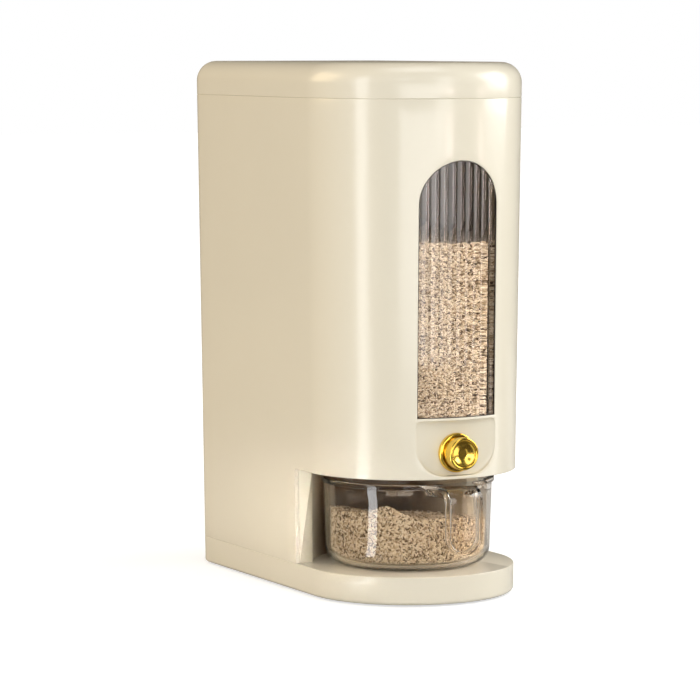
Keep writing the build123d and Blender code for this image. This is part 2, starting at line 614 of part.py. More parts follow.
def button_bezel():
    """Gold collar on the recess face, with a sleeve through the wall."""
    bore = CAP_RADIUS + FIT
    outline = [
        Line((bore, RECESS_Y - BEZEL_PROUD), (BEZEL_NOSE_RADIUS, RECESS_Y - BEZEL_PROUD)),
        ThreePointArc((BEZEL_NOSE_RADIUS, RECESS_Y - BEZEL_PROUD),
                      (BEZEL_RADIUS - BEZEL_TAPER / 2 + BEZEL_BULGE, RECESS_Y - 0.6 * BEZEL_PROUD),
                      (BEZEL_RADIUS, RECESS_Y)),
        Polyline((BEZEL_RADIUS, RECESS_Y), (SLEEVE_RADIUS, RECESS_Y), (SLEEVE_RADIUS, RECESS_Y + SLEEVE_LENGTH),
                 (bore, RECESS_Y + SLEEVE_LENGTH), (bore, RECESS_Y - BEZEL_PROUD)),
    ]
    return Pos(0, 0, BUTTON_Z) * revolve(make_face(outline), Axis.Y)


def bezel_nut():
    """Ring nut on the sleeve, against the inside of the wall, with spanner slots."""
    nut = drum(SHELF_Y, SHELF_Y + NUT_THICK, NUT_RADIUS)
    nut -= drum(SHELF_Y - CUT, SHELF_Y + NUT_THICK + CUT, SLEEVE_RADIUS + PART_GAP)
    for side in (1, -1):
        x = side * NUT_RADIUS
        nut -= slab(x - CUT, x + CUT, SHELF_Y + NUT_THICK / 2, SHELF_Y + NUT_THICK + CUT,
                    BUTTON_Z - SCREW_RADIUS, BUTTON_Z + SCREW_RADIUS)
    return nut


def spring_washer():
    face = GUIDE_FACE_Y - WASHER_THICK
    return drum(face, GUIDE_FACE_Y, SPRING_RADIUS + CUT) - drum(face - CUT, GUIDE_FACE_Y + CUT, ROD_RADIUS + FIT)


def return_spring():
    """Compression spring round the rod, between the cap's floor and the washer."""
    front = cap_seat() + SPRING_WIRE
    length = GUIDE_FACE_Y - WASHER_THICK - SPRING_WIRE - front
    coil = Helix(pitch=length / SPRING_TURNS, height=length, radius=SPRING_RADIUS)
    section = Plane(origin=coil @ 0, z_dir=coil % 0) * RegularPolygon(SPRING_WIRE, 6)
    wire = sweep(section, path=coil)
    return Pos(0, front, BUTTON_Z) * Rot(-90, 0, 0) * wire


def window_pane():
    """Smoked pane with upright convex flutes and a flange behind the wall."""
    opening = to_front(arch(-GASKET_LIP, WINDOW_BOTTOM + PART_GAP), AXIS_Y)
    behind = WALL + GASKET_THICK
    low = WINDOW_BOTTOM - WALL
    high = WINDOW_TOP + 2 * PANE_FLANGE
    web = ring(low, high, PANE_SET_BACK + FLUTE_DEPTH, behind + PANE_FLANGE_THICK) & opening
    crest_zone = ring(low, high, PANE_SET_BACK, PANE_SET_BACK + FLUTE_DEPTH + CUT) & opening
    flutes = Part()
    for step in range(FLUTE_COUNT):
        flutes += crest_zone & flute(step - (FLUTE_COUNT - 1) / 2)
    flange = ring(low, high, behind, behind + PANE_FLANGE_THICK)
    flange = flange & to_front(arch(PANE_FLANGE, WINDOW_BOTTOM + PART_GAP), AXIS_Y)
    return web + flutes + flange


def flute(step):
    """Leaning cylinder whose front forms one convex flute."""
    middle = (WINDOW_BOTTOM + WINDOW_TOP) / 2
    outer = half_width(middle) - PANE_SET_BACK
    swing = step * 2 * asin(WINDOW_HALF / outer) / FLUTE_COUNT
    lean = Rot(0, 0, degrees(swing)) * Pos(0, FLUTE_RADIUS - outer, 0) * Rot(DRAFT, 0, 0)
    return Pos(0, AXIS_Y, middle) * lean * Cylinder(FLUTE_RADIUS, WINDOW_TOP)


def window_gasket():
    """Thin dark frame: a lip round the pane and a pad under its flange."""
    low = WINDOW_BOTTOM - WALL
    high = WINDOW_TOP + 2 * PANE_FLANGE
    floor = WINDOW_BOTTOM + PART_GAP
    lip = ring(low, high, PANE_SET_BACK, WALL) & to_front(arch(-PART_GAP / 2, floor), AXIS_Y)
    lip -= to_front(arch(-GASKET_LIP + PART_GAP / 2, floor - CUT), AXIS_Y)
    pad = ring(low, high, WALL, WALL + GASKET_THICK) & to_front(arch(PANE_FLANGE, floor), AXIS_Y)
    pad -= to_front(arch(-GASKET_LIP + PART_GAP / 2, floor - CUT), AXIS_Y)
    return lip + pad


def window_retainer():
    """Inner frame, welded to the wall, that holds the pane's flange against the gasket."""
    low = WINDOW_BOTTOM - WALL
    high = WINDOW_TOP + 4 * PANE_FLANGE
    floor = WINDOW_BOTTOM + PART_GAP
    flange_back = WALL + GASKET_THICK + PANE_FLANGE_THICK
    back = flange_back + PART_GAP + RETAINER_THICK
    frame = ring(low, high, WALL, back) & to_front(arch(PANE_FLANGE + RETAINER_RIM, floor), AXIS_Y)
    frame -= to_front(arch(CUT, floor - CUT), AXIS_Y)
    pocket = ring(low - CUT, high + CUT, WALL - CUT, flange_back + PART_GAP)
    return frame - (pocket & to_front(arch(PANE_FLANGE + PART_GAP, floor - CUT), AXIS_Y))


def lid():
    """Cover with a round top edge and a skirt that plugs the housing."""
    outside = block(LID_SEAM, HEIGHT)
    outside = fillet(outside.edges().group_by(Axis.Z)[-1], LID_EDGE)
    outside = fillet(outside.edges().group_by(Axis.Z)[0], SEAM_EDGE)
    hollow = block(LID_SEAM, HEIGHT - LID_WALL, LID_WALL)
    hollow = fillet(hollow.edges().group_by(Axis.Z)[-1], LID_EDGE - LID_WALL)
    cover = outside - hollow
    inner = SKIRT_INSET + SKIRT_THICK
    cover += ring(LID_SEAM, LID_SEAM + LID_WALL, LID_WALL / 2, inner)
    cover += ring(LID_SEAM - SKIRT_DEPTH, LID_SEAM + LID_WALL, SKIRT_INSET, inner)
    groove_low = SEAL_Z - PART_GAP / 2
    groove_high = SEAL_Z + LID_SEAL_HEIGHT + PART_GAP / 2
    return cover - ring(groove_low, groove_high, 0, SKIRT_INSET + LID_SEAL_DEPTH)


def lid_seal():
    """Silicone band in the skirt's groove, with two thin lips."""
    groove = SKIRT_INSET + LID_SEAL_DEPTH
    band = ring(SEAL_Z, SEAL_Z + LID_SEAL_HEIGHT, SKIRT_INSET, groove)
    for z in (SEAL_Z, SEAL_Z + LID_SEAL_HEIGHT - CUT):
        band += ring(z, z + CUT, WALL + FIT, groove)
    return band


def cup_body():
    """Round cup turned about its own axis, with a foot ring and a bead at the rim."""
    foot = DECK_Z + CUP_GAP
    rim_low = CUP_TOP - CUP_RIM_HEIGHT
    inner_top = CUP_RADIUS - CUP_WALL
    outline = Polyline(
        (0, foot + CUP_HOLLOW), (CUP_BASE_RADIUS - 1.5 * CUP_CORNER, foot + CUP_HOLLOW),
        (CUP_BASE_RADIUS - 1.5 * CUP_CORNER + CUP_HOLLOW, foot), (CUP_BASE_RADIUS, foot),
        (CUP_RADIUS, rim_low), (CUP_RIM_RADIUS, rim_low), (CUP_RIM_RADIUS, CUP_TOP), (inner_top, CUP_TOP),
        (CUP_BASE_RADIUS - CUP_WALL, foot + CUP_HOLLOW + CUP_WALL), (0, foot + CUP_HOLLOW + CUP_WALL), close=True)
    face = make_face(outline)
    corners = face.vertices().sort_by_distance((CUP_BASE_RADIUS, foot))
    face = fillet(corners[0], CUP_CORNER)
    corners = face.vertices().sort_by_distance((CUP_BASE_RADIUS - CUP_WALL, foot + CUP_HOLLOW + CUP_WALL))
    face = fillet(corners[0], CUP_CORNER - CUP_WALL)
    for spot in ((CUP_RIM_RADIUS, CUP_TOP), (inner_top, CUP_TOP), (CUP_RIM_RADIUS, rim_low)):
        face = fillet(face.vertices().sort_by_distance(spot)[0], SEAM_EDGE)
    return Pos(0, AXIS_Y, 0) * revolve(Plane.XZ * face, Axis.Z)


def handle_front_view(inset=0.0):
    """Tongue with a round end that widens into the rim."""
    half = HANDLE_HALF - inset
    root = HANDLE_ROOT_HALF - inset
    low = HANDLE_BOTTOM + HANDLE_HALF
    flare = CUP_TOP - HANDLE_FLARE
    third = half + (root - half) / 4
    outline = [
        ThreePointArc((-half, low), (0, low - half), (half, low)),
        Line((half, low), (half, flare)),
        ThreePointArc((half, flare), (third, flare + 0.55 * HANDLE_FLARE), (root, CUP_TOP)),
        Line((root, CUP_TOP), (-root, CUP_TOP)),
        ThreePointArc((-root, CUP_TOP), (-third, flare + 0.55 * HANDLE_FLARE), (-half, flare)),
        Line((-half, flare), (-half, low)),
    ]
    return make_face(outline)


def handle_plan(inset=0.0):
    """Handle seen from above, wide at the cup and narrow at the tongue."""
    half = HANDLE_HALF - inset
    root = HANDLE_ROOT_HALF - inset
    wall = AXIS_Y - CUP_RADIUS + CUP_WALL
    bend = HANDLE_FRONT + HANDLE_BEND / 2
    third = half + (root - half) / 4
    outline = [
        Line((-root, wall), (root, wall)),
        ThreePointArc((root, wall), (third, (wall + bend) / 2), (half, bend)),
        Line((half, bend), (half, HANDLE_FRONT - CUT)),
        Line((half, HANDLE_FRONT - CUT), (-half, HANDLE_FRONT - CUT)),
        Line((-half, HANDLE_FRONT - CUT), (-half, bend)),
        ThreePointArc((-half, bend), (-third, (wall + bend) / 2), (-root, wall)),
    ]
    return make_face(outline)


def handle_band(depth):
    """Bent strip of the given depth, seen from the side and run across the body."""
    wall = AXIS_Y - CUP_RADIUS + CUP_WALL
    low = HANDLE_BOTTOM - CUT
    outline = Polyline(
        (wall, CUP_TOP), (HANDLE_FRONT, CUP_TOP), (HANDLE_FRONT, low), (HANDLE_FRONT + depth, low),
        (HANDLE_FRONT + depth, CUP_TOP - depth), (wall, CUP_TOP - depth), close=True)
    face = make_face(outline)
    face = fillet(face.vertices().sort_by_distance((HANDLE_FRONT, CUP_TOP))[0], HANDLE_BEND)
    inner = (HANDLE_FRONT + depth, CUP_TOP - depth)
    face = fillet(face.vertices().sort_by_distance(inner)[0], max(HANDLE_BEND - depth, CUT))
    return extrude(Plane.YZ * face, HANDLE_ROOT_HALF, both=True)


def handle_outline(inset=0.0):
    """Solid with the handle's outline in front view and in plan."""
    front = to_front(handle_front_view(inset), AXIS_Y)
    seen_from_above = extrude(handle_plan(inset), HEIGHT)
    return front & seen_from_above


def measuring_cup():
    """Clear cup with its moulded channel-section handle."""
    skin = handle_band(HANDLE_THICK) & handle_outline()
    rim = (handle_band(HANDLE_FLANGE) & handle_outline()) - handle_outline(HANDLE_RIM)
    handle = skin + rim
    handle -= post(0, AXIS_Y, 0, HEIGHT, CUP_RADIUS - CUP_WALL / 2)
    return cup_body() + handle


PIECES = {
    "base_tray": base_tray,
    "rubber_feet": rubber_feet,
    "base_screws": base_screws,
    "housing_shell": housing_shell,
    "bay_liner": bay_liner,
    "gate_guide": gate_guide,
    "guide_screws": guide_screws,
    "hopper": hopper,
    "hopper_screws": hopper_screws,
    "outlet_seal": outlet_seal,
    "gate_plate": gate_plate,
    "gate_screw": gate_screw,
    "push_rod": push_rod,
    "button_cap": button_cap,
    "button_bezel": button_bezel,
    "bezel_nut": bezel_nut,
    "spring_washer": spring_washer,
    "return_spring": return_spring,
    "window_pane": window_pane,
    "window_gasket": window_gasket,
    "window_retainer": window_retainer,
    "lid": lid,
    "lid_seal": lid_seal,
    "measuring_cup": measuring_cup,
}


def main():
    os.makedirs("parts", exist_ok=True)
    for name, make in PIECES.items():
        export_step(make(), f"parts/{name}.step")


main()
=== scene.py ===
"""Looks of a rice dispenser: housing, lid, base, fluted window, gold button, clear cup and its rice.

Sizes are millimetres until a mesh is made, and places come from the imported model's own boxes.
"""
import json
import logging
import math
from dataclasses import dataclass
from enum import Enum
from typing import Any, Callable, Sequence

import bmesh
import bpy
import numpy as np
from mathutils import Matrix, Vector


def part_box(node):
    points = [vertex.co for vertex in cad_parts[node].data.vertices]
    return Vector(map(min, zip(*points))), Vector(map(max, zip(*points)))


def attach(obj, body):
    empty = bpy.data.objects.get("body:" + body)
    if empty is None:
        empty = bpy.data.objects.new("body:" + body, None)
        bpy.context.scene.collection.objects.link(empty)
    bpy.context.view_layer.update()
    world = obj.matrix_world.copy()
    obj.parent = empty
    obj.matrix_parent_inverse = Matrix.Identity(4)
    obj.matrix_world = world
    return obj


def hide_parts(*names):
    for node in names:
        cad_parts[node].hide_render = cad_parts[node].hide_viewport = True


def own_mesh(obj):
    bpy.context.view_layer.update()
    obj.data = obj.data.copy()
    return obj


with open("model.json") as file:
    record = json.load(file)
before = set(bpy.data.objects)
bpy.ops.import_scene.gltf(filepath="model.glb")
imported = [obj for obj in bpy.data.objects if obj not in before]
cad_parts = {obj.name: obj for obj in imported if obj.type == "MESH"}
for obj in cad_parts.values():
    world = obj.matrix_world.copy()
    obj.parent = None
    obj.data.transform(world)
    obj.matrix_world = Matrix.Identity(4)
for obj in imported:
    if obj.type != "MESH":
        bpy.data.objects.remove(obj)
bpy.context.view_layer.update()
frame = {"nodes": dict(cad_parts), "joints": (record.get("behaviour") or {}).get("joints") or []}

LOG = logging.getLogger("rice_dispenser")
MM = 0.001
WELD_MM = 0.002
GRAIN_TONE = "grain_tone"
BULK_TONE = 0.02
BULK_LIMIT = 0.03


# Mesh tools

def span(node: str) -> tuple[np.ndarray, np.ndarray]:
    """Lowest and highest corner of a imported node.

    Args:
        node: the node's name.
    Returns:
        Two corners in millimetres.
    """
    low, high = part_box(node)
    return np.array(low) / MM, np.array(high) / MM


class Skin:
    """Points and faces of one mesh, gathered loop by loop in millimetres."""

    def __init__(self) -> None:
        """Starts with no points."""
        self.points: list[np.ndarray] = []
        self.faces: list[tuple[int, ...]] = []
        self.count = 0

    def loop(self, points: np.ndarray) -> np.ndarray:
        """Adds a row of points.

        Args:
            points: an array of (x, y, z) rows.
        Returns:
            The new points' numbers.
        """
        self.points.append(np.asarray(points, float))
        numbers = np.arange(self.count, self.count + len(points))
        self.count += len(points)
        return numbers

    def bridge(self, first: np.ndarray, second: np.ndarray, closed: bool = True) -> None:
        """Joins two rows of equally many points with quads.

        Args:
            first: the numbers of one row.
            second: the numbers of the other.
            closed: whether the rows run round to their start.
        """
        last = len(first) if closed else len(first) - 1
        for here in range(last):
            after = (here + 1) % len(first)
            self.faces.append((int(first[here]), int(first[after]), int(second[after]), int(second[here])))

    def stack(self, rows: Sequence[np.ndarray], closed: bool = True) -> list[np.ndarray]:
        """Adds rows and joins each to the next.

        Args:
            rows: arrays of points with equally many in each.
            closed: whether each row runs round to its start.
        Returns:
            The rows' numbers.
        """
        numbers = [self.loop(row) for row in rows]
        for first, second in zip(numbers, numbers[1:]):
            self.bridge(first, second, closed)
        return numbers

    def cap(self, row: np.ndarray) -> None:
        """Closes a row with one flat face."""
        self.faces.append(tuple(int(number) for number in row))

    def piece(self, name: str, sharp: float = 35.0, closed: bool = True) -> bpy.types.Object:
        """Makes the object, welded, with its faces outwards and smooth up to an angle.

        Args:
            name: the piece's name.
            sharp: edges that turn by more degrees than this stay crisp.
            closed: whether the mesh is a closed solid, so that its normals can be worked out.
        Returns:
            The object, at the origin.
        """
        mesh = bpy.data.meshes.new(name)
        mesh.from_pydata((np.concatenate(self.points) * MM).tolist(), [], self.faces)
        work = bmesh.new()
        work.from_mesh(mesh)
        bmesh.ops.remove_doubles(work, verts=work.verts, dist=WELD_MM * MM)
        bmesh.ops.dissolve_degenerate(work, edges=work.edges, dist=WELD_MM * MM)
        if closed:
            bmesh.ops.recalc_face_normals(work, faces=work.faces)
        work.to_mesh(mesh)
        work.free()
        return dressed(name, mesh, sharp)


def dressed(name: str, mesh: bpy.types.Mesh, sharp: float) -> bpy.types.Object:
    """Links a mesh as a smooth object.

    Args:
        name: the object's name.
        mesh: its finished mesh.
        sharp: the angle in degrees past which an edge stays crisp.
    Returns:
        The object.
    """
    mesh.shade_smooth()
    mesh.set_sharp_from_angle(angle=math.radians(sharp))
    thing = bpy.data.objects.new(name, mesh)
    bpy.context.scene.collection.objects.link(thing)
    return thing


def refined(node: str, name: str, sharp: float = 30.0) -> bpy.types.Object:
    """A welded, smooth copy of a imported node.

    Args:
        node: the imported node.
        name: the new piece's name.
        sharp: the angle in degrees past which an edge stays crisp.
    Returns:
        The new object.
    """
    mesh = frame["nodes"][node].data.copy()
    work = bmesh.new()
    work.from_mesh(mesh)
    bmesh.ops.remove_doubles(work, verts=work.verts, dist=WELD_MM * MM)
    work.to_mesh(mesh)
    work.free()
    mesh.name = name
    return dressed(name, mesh, sharp)


def baked(thing: bpy.types.Object) -> bpy.types.Object:
    """Turns an object's modifiers into its mesh.

    Args:
        thing: an object with modifiers.
    Returns:
        The same object, with a plain mesh and no modifiers.
    """
    ready = thing.evaluated_get(bpy.context.evaluated_depsgraph_get())
    mesh = bpy.data.meshes.new_from_object(ready)
    thing.modifiers.clear()
    thing.data = mesh
    return thing


def soften(thing: bpy.types.Object, width: float, angle: float) -> None:
    """Rounds the crisp edges of a mesh.

    Args:
        thing: the object.
        width: the rounding in millimetres.
        angle: edges that turn by more degrees than this are rounded.
    """
    bevel = thing.modifiers.new("edge_rounding", "BEVEL")
    bevel.limit_method = "ANGLE"
    bevel.angle_limit = math.radians(angle)
    bevel.width = width * MM
    bevel.segments = 2
    baked(thing)
    thing.data.set_sharp_from_angle(angle=math.radians(angle))


def turned(name: str, profile: Sequence[tuple[float, float]], centre: Sequence[float],
           segments: int = 128) -> bpy.types.Object:
    """A solid turned about an axis along Y.

    Args:
        name: the piece's name.
        profile: closed outline of (radius, place along the axis) points.
        centre: a point on the axis.
        segments: how many steps a full turn has.
    Returns:
        The object.
    """
    angles = np.linspace(0, 2 * math.pi, segments, endpoint=False)
    skin = Skin()
    skin.stack([np.stack([centre[0] + radius * np.cos(angles), np.full(segments, place),
                          centre[2] + radius * np.sin(angles)], 1)
                for radius, place in [*profile, profile[0]]])
    return skin.piece(name)


def arc(centre: tuple[float, float], radius: float, start: float, end: float,
        steps: int) -> list[tuple[float, float]]:
    """Points round part of a circle, from start to end in degrees."""
    turns = np.radians(np.linspace(start, end, steps + 1))
    return [(centre[0] + radius * math.cos(turn), centre[1] + radius * math.sin(turn)) for turn in turns]


# Node trees

class Value:
    """A socket that carries a number, for writing shader maths as Python expressions."""

    def __init__(self, tree: "Tree", socket: bpy.types.NodeSocket) -> None:
        """Wraps one output socket of a tree."""
        self.tree = tree
        self.socket = socket

    def _with(self, operation: str, *terms: Any) -> "Value":
        """A Math node on these terms."""
        node = self.tree.node("ShaderNodeMath", {"operation": operation}, dict(enumerate(terms)))
        return Value(self.tree, node.outputs[0])

    def __add__(self, other: Any) -> "Value":
        """The sum."""
        return self._with("ADD", self, other)

    def __sub__(self, other: Any) -> "Value":
        """The difference."""
        return self._with("SUBTRACT", self, other)

    def __rsub__(self, other: Any) -> "Value":
        """The difference, the other way round."""
        return self._with("SUBTRACT", other, self)

    def __mul__(self, other: Any) -> "Value":
        """The product."""
        return self._with("MULTIPLY", self, other)

    def above(self, level: Any) -> "Value":
        """1 where the number is above a level, and 0 elsewhere."""
        return self._with("GREATER_THAN", self, level)

    def at_least(self, other: Any) -> "Value":
        """The larger of the two."""
        return self._with("MAXIMUM", self, other)

    def eased(self, low: float, high: float) -> "Value":
        """0 below low, 1 above high, and a soft rise between them.

        Args:
            low: where the rise starts.
            high: where it ends.
        Returns:
            The eased number.
        """
        node = self.tree.node("ShaderNodeMapRange", {"interpolation_type": "SMOOTHSTEP"}, {
            "Value": self, "From Min": low, "From Max": high, "To Min": 0.0, "To Max": 1.0})
        return Value(self.tree, node.outputs[0])

    __radd__ = __add__
    __rmul__ = __mul__


class Tree:
    """A node tree, with one method that adds any node."""

    def __init__(self, tree: bpy.types.NodeTree) -> None:
        """Wraps a tree and empties it."""
        self.tree = tree
        tree.nodes.clear()

    def node(self, kind: str, settings: dict[str, Any] | None = None,
             sockets: dict[Any, Any] | None = None) -> bpy.types.Node:
        """Adds a node.

        Args:
            kind: the node's type.
            settings: properties, which are set first; "stops" fills a ramp with (place, colour) pairs.
            sockets: values or links for its inputs, by name or number.
        Returns:
            The node.
        """
        node = self.tree.nodes.new(kind)
        for key, value in (settings or {}).items():
            if key == "stops":
                self._fill(node.color_ramp, value)
            else:
                setattr(node, key, value)
        for key, value in (sockets or {}).items():
            source = value.socket if isinstance(value, Value) else value
            if isinstance(source, bpy.types.NodeSocket):
                self.tree.links.new(source, node.inputs[key])
            else:
                node.inputs[key].default_value = source
        return node

    @staticmethod
    def _fill(ramp: bpy.types.ColorRamp, stops: Sequence[tuple[float, Sequence[float]]]) -> None:
        """Gives a ramp its stops.

        Args:
            ramp: the ramp of a node.
            stops: (place, colour) pairs.
        """
        while len(ramp.elements) < len(stops):
            ramp.elements.new(0.5)
        for element, (place, colour) in zip(ramp.elements, stops):
            element.position = place
            element.color = (*colour, 1.0)


class Paint(Tree):
    """A material's tree."""

    def __init__(self, name: str) -> None:
        """Makes the material.

        Args:
            name: the material's name.
        """
        self.material = bpy.data.materials.new(name)
        self.material.use_nodes = True
        super().__init__(self.material.node_tree)

    def place(self) -> bpy.types.NodeSocket:
        """The piece's own coordinates, in metres."""
        return self.node("ShaderNodeTexCoord").outputs["Object"]

    def noise(self, scale: float, detail: float = 2.0, stretch: Sequence[float] = (1, 1, 1)) -> Value:
        """Cloudy pattern from 0 to 1.

        Args:
            scale: features in a metre.
            detail: octaves.
            stretch: how much finer it is along each axis.
        Returns:
            The pattern.
        """
        where = self.node("ShaderNodeMapping", {}, {"Vector": self.place(), "Scale": tuple(stretch)})
        made = self.node("ShaderNodeTexNoise", {}, {
            "Vector": where.outputs[0], "Scale": scale, "Detail": detail})
        return Value(self, made.outputs[0])

    def ramp(self, factor: Value, stops: Sequence[tuple[float, Sequence[float]]]) -> bpy.types.NodeSocket:
        """Colours for a factor."""
        return self.node("ShaderNodeValToRGB", {"stops": stops}, {0: factor}).outputs[0]

    def mixed(self, factor: Any, first: Any, second: Any) -> bpy.types.NodeSocket:
        """A mix of two colours."""
        node = self.node("ShaderNodeMix", {"data_type": "RGBA"}, {0: factor, 6: first, 7: second})
        return node.outputs[2]

    def bumped(self, height: Value, depth_mm: float) -> bpy.types.NodeSocket:
        """A normal that follows a height pattern of the given depth."""
        sockets = {"Height": height, "Distance": depth_mm * MM, "Strength": 1.0}
        return self.node("ShaderNodeBump", {}, sockets).outputs[0]

    def finish(self, sockets: dict[str, Any]) -> bpy.types.Material:
        """Ends the tree in a Principled shader.

        Args:
            sockets: its values and links.
        Returns:
            The material.
        """
        return self.end(self.node("ShaderNodeBsdfPrincipled", {}, sockets).outputs[0])

    def end(self, surface: bpy.types.NodeSocket) -> bpy.types.Material:
        """Ends the tree in a surface."""
        self.node("ShaderNodeOutputMaterial", {}, {"Surface": surface})
        return self.material


def linear(red: int, green: int, blue: int) -> tuple[float, float, float]:
    """A colour of 8-bit display values, as the light values that shaders take.

    Args:
        red: red, from 0 to 255.
        green: green.
        blue: blue.
    Returns:
        The light values.
    """
    def channel(value: int) -> float:
        """One channel."""
        share = value / 255
        return share / 12.92 if share <= 0.04045 else ((share + 0.055) / 1.055) ** 2.4
    return channel(red), channel(green), channel(blue)


# Finishes

@dataclass(frozen=True)
class Moulding:
    """Opaque moulded plastic: nearly even, with the faint ripple of a polished tool."""

    name: str
    colour: tuple[int, int, int]
    roughness: float = 0.3
    coat: float = 0.25
    ripple_mm: float = 0.03
    drift: float = 0.965

    def tone(self, paint: Paint) -> bpy.types.NodeSocket:
        """The colour, with a faint drift from place to place.

        Args:
            paint: the material's tree.
        Returns:
            The colour.
        """
        base = linear(*self.colour)
        shade = tuple(channel * self.drift for channel in base)
        return paint.mixed(paint.noise(14, 3), (*base, 1), (*shade, 1))

    def make(self) -> bpy.types.Material:
        """Builds the material.

        Returns:
            The material.
        """
        paint = Paint(self.name)
        drift = paint.noise(14, 3)
        speckle = paint.noise(900, 2)
        ripple = paint.noise(70, 2)
        grain = paint.noise(1600, 2)
        return paint.finish({
            "Base Color": self.tone(paint),
            "Roughness": speckle * 0.05 + (drift * 0.06 + (self.roughness - 0.05)),
            "Coat Weight": self.coat, "Coat Roughness": 0.12, "IOR": 1.5,
            "Normal": paint.bumped(ripple + grain * 0.12, self.ripple_mm)})


@dataclass(frozen=True)
class ShadePaintedMoulding(Moulding):
    """Moulded plastic with painted shade: its colour deepens to brown towards the back of the alcove and
    under its roof, where the alcove lies in shade.
    """

    # deep: the painted shade colour; it grows along Y from front_mm to back_mm, and it covers the roof above
    # roof_mm
    deep: tuple[int, int, int] = (124, 96, 62)
    front_mm: float = -28.0
    back_mm: float = 8.0
    roof_mm: float = 96.9

    def tone(self, paint: Paint) -> bpy.types.NodeSocket:
        """The moulding's colour, mixed by place with painted shade towards the back of the alcove and under
        its roof.

        Args:
            paint: the material's tree.
        Returns:
            The colour.
        """
        where = paint.node("ShaderNodeSeparateXYZ", {}, {0: paint.place()})
        # painted shade: darker towards the back of the alcove and on its roof above roof_mm
        back = Value(paint, where.outputs[1]).eased(self.front_mm * MM, self.back_mm * MM)
        roof = Value(paint, where.outputs[2]).above(self.roof_mm * MM)
        return paint.mixed(back.at_least(roof), super().tone(paint), (*linear(*self.deep), 1))


@dataclass(frozen=True)
class ClearPlastic:
    """Polished transparent plastic with a tint."""

    name: str
    tint: tuple[float, float, float]
    roughness: float = 0.02
    ior: float = 1.49
    shine: float = 0.5
    coat: float = 0.0
    ripple_mm: float = 0.02

    def make(self) -> bpy.types.Material:
        """Builds the material.

        Returns:
            The material.
        """
        paint = Paint(self.name)
        flow = paint.noise(55, 2)
        smear = paint.noise(240, 3)
        return paint.finish({
            "Base Color": (*self.tint, 1), "Transmission Weight": 1.0, "IOR": self.ior,
            "Specular IOR Level": self.shine, "Coat Weight": self.coat, "Coat Roughness": 0.02,
            "Roughness": smear * 0.02 + self.roughness,
            "Normal": paint.bumped(flow, self.ripple_mm)})


@dataclass(frozen=True)
class GoldPlate:
    """Bright plating over a moulding, with fine polishing marks."""

    name: str
    colour: tuple[int, int, int] = (253, 217, 100)
    roughness: float = 0.17

    def make(self) -> bpy.types.Material:
        """Builds the material.

        Returns:
            The material.
        """
        paint = Paint(self.name)
        cloud = paint.noise(160, 3)
        marks = paint.noise(2600, 2, (1, 0.2, 1))
        base = linear(*self.colour)
        deep = (base[0] * 0.93, base[1] * 0.86, base[2] * 0.75)
        return paint.finish({
            "Base Color": paint.mixed(cloud, (*base, 1), (*deep, 1)), "Metallic": 1.0,
            "Roughness": marks * 0.03 + (cloud * 0.03 + self.roughness),
            "Normal": paint.bumped(cloud + marks * 0.1, 0.01)})


@dataclass(frozen=True)
class Rubber:
    """Matt rubber or silicone."""

    name: str
    colour: tuple[int, int, int]
    roughness: float = 0.7

    def make(self) -> bpy.types.Material:
        """Builds the material.

        Returns:
            The material.
        """
        paint = Paint(self.name)
        base = linear(*self.colour)
        dust = tuple(min(1.0, channel * 1.25 + 0.01) for channel in base)
        fine = paint.noise(1200, 3)
        cloud = paint.noise(60, 3)
        return paint.finish({
            "Base Color": paint.mixed(cloud * 0.6, (*base, 1), (*dust, 1)),
            "Roughness": fine * 0.15 + (self.roughness - 0.05),
            "Normal": paint.bumped(fine, 0.03)})


@dataclass(frozen=True)
class Zinc:
    """Zinc-plated steel with short drawn marks."""

    name: str
    roughness: float = 0.32

    def make(self) -> bpy.types.Material:
        """Builds the material.

        Returns:
            The material.
        """
        paint = Paint(self.name)
        spangle = paint.noise(700, 3)
        drawn = paint.noise(900, 2, (1, 1, 9))
        return paint.finish({
            "Base Color": paint.mixed(spangle, (0.56, 0.57, 0.59, 1), (0.42, 0.43, 0.45, 1)), "Metallic": 1.0,
            "Roughness": drawn * 0.12 + (self.roughness - 0.06),
            "Normal": paint.bumped(drawn, 0.01)})


@dataclass(frozen=True)
class RiceHusk:
    """Wholegrain rice: each grain has its own tone, and the mass under the grains is patchy."""

    name: str

    def make(self) -> bpy.types.Material:
        """Builds the material.

        Returns:
            The material.
        """
        paint = Paint(self.name)
        marked = paint.node("ShaderNodeAttribute", {"attribute_name": GRAIN_TONE})
        tone = Value(paint, marked.outputs["Fac"])
        bulk = 1 - tone.above(BULK_LIMIT)
        cells = paint.node("ShaderNodeTexVoronoi", {}, {"Vector": paint.place(), "Scale": 620.0})
        parts = paint.node("ShaderNodeSeparateColor", {}, {0: cells.outputs["Color"]})
        husk = paint.ramp(tone + bulk * parts.outputs[0], RICE_TONES)
        streak = paint.noise(900, 3)
        darker = paint.mixed(streak, (1, 1, 1, 1), (0.72, 0.66, 0.6, 1))
        coat = paint.node("ShaderNodeMix", {"data_type": "RGBA", "blend_type": "MULTIPLY"},
                          {0: 0.55, 6: husk, 7: darker})
        return paint.finish({
            "Base Color": coat.outputs[2], "Roughness": streak * 0.2 + 0.42,
            "Normal": paint.bumped(streak, 0.05)})


RICE_TONES = (
    (0.0, linear(150, 132, 106)), (0.06, linear(76, 62, 48)), (0.17, linear(112, 95, 75)),
    (0.24, linear(170, 153, 128)), (0.42, linear(206, 193, 166)), (0.6, linear(230, 220, 195)),
    (0.8, linear(250, 246, 232)), (1.0, linear(250, 244, 220)))


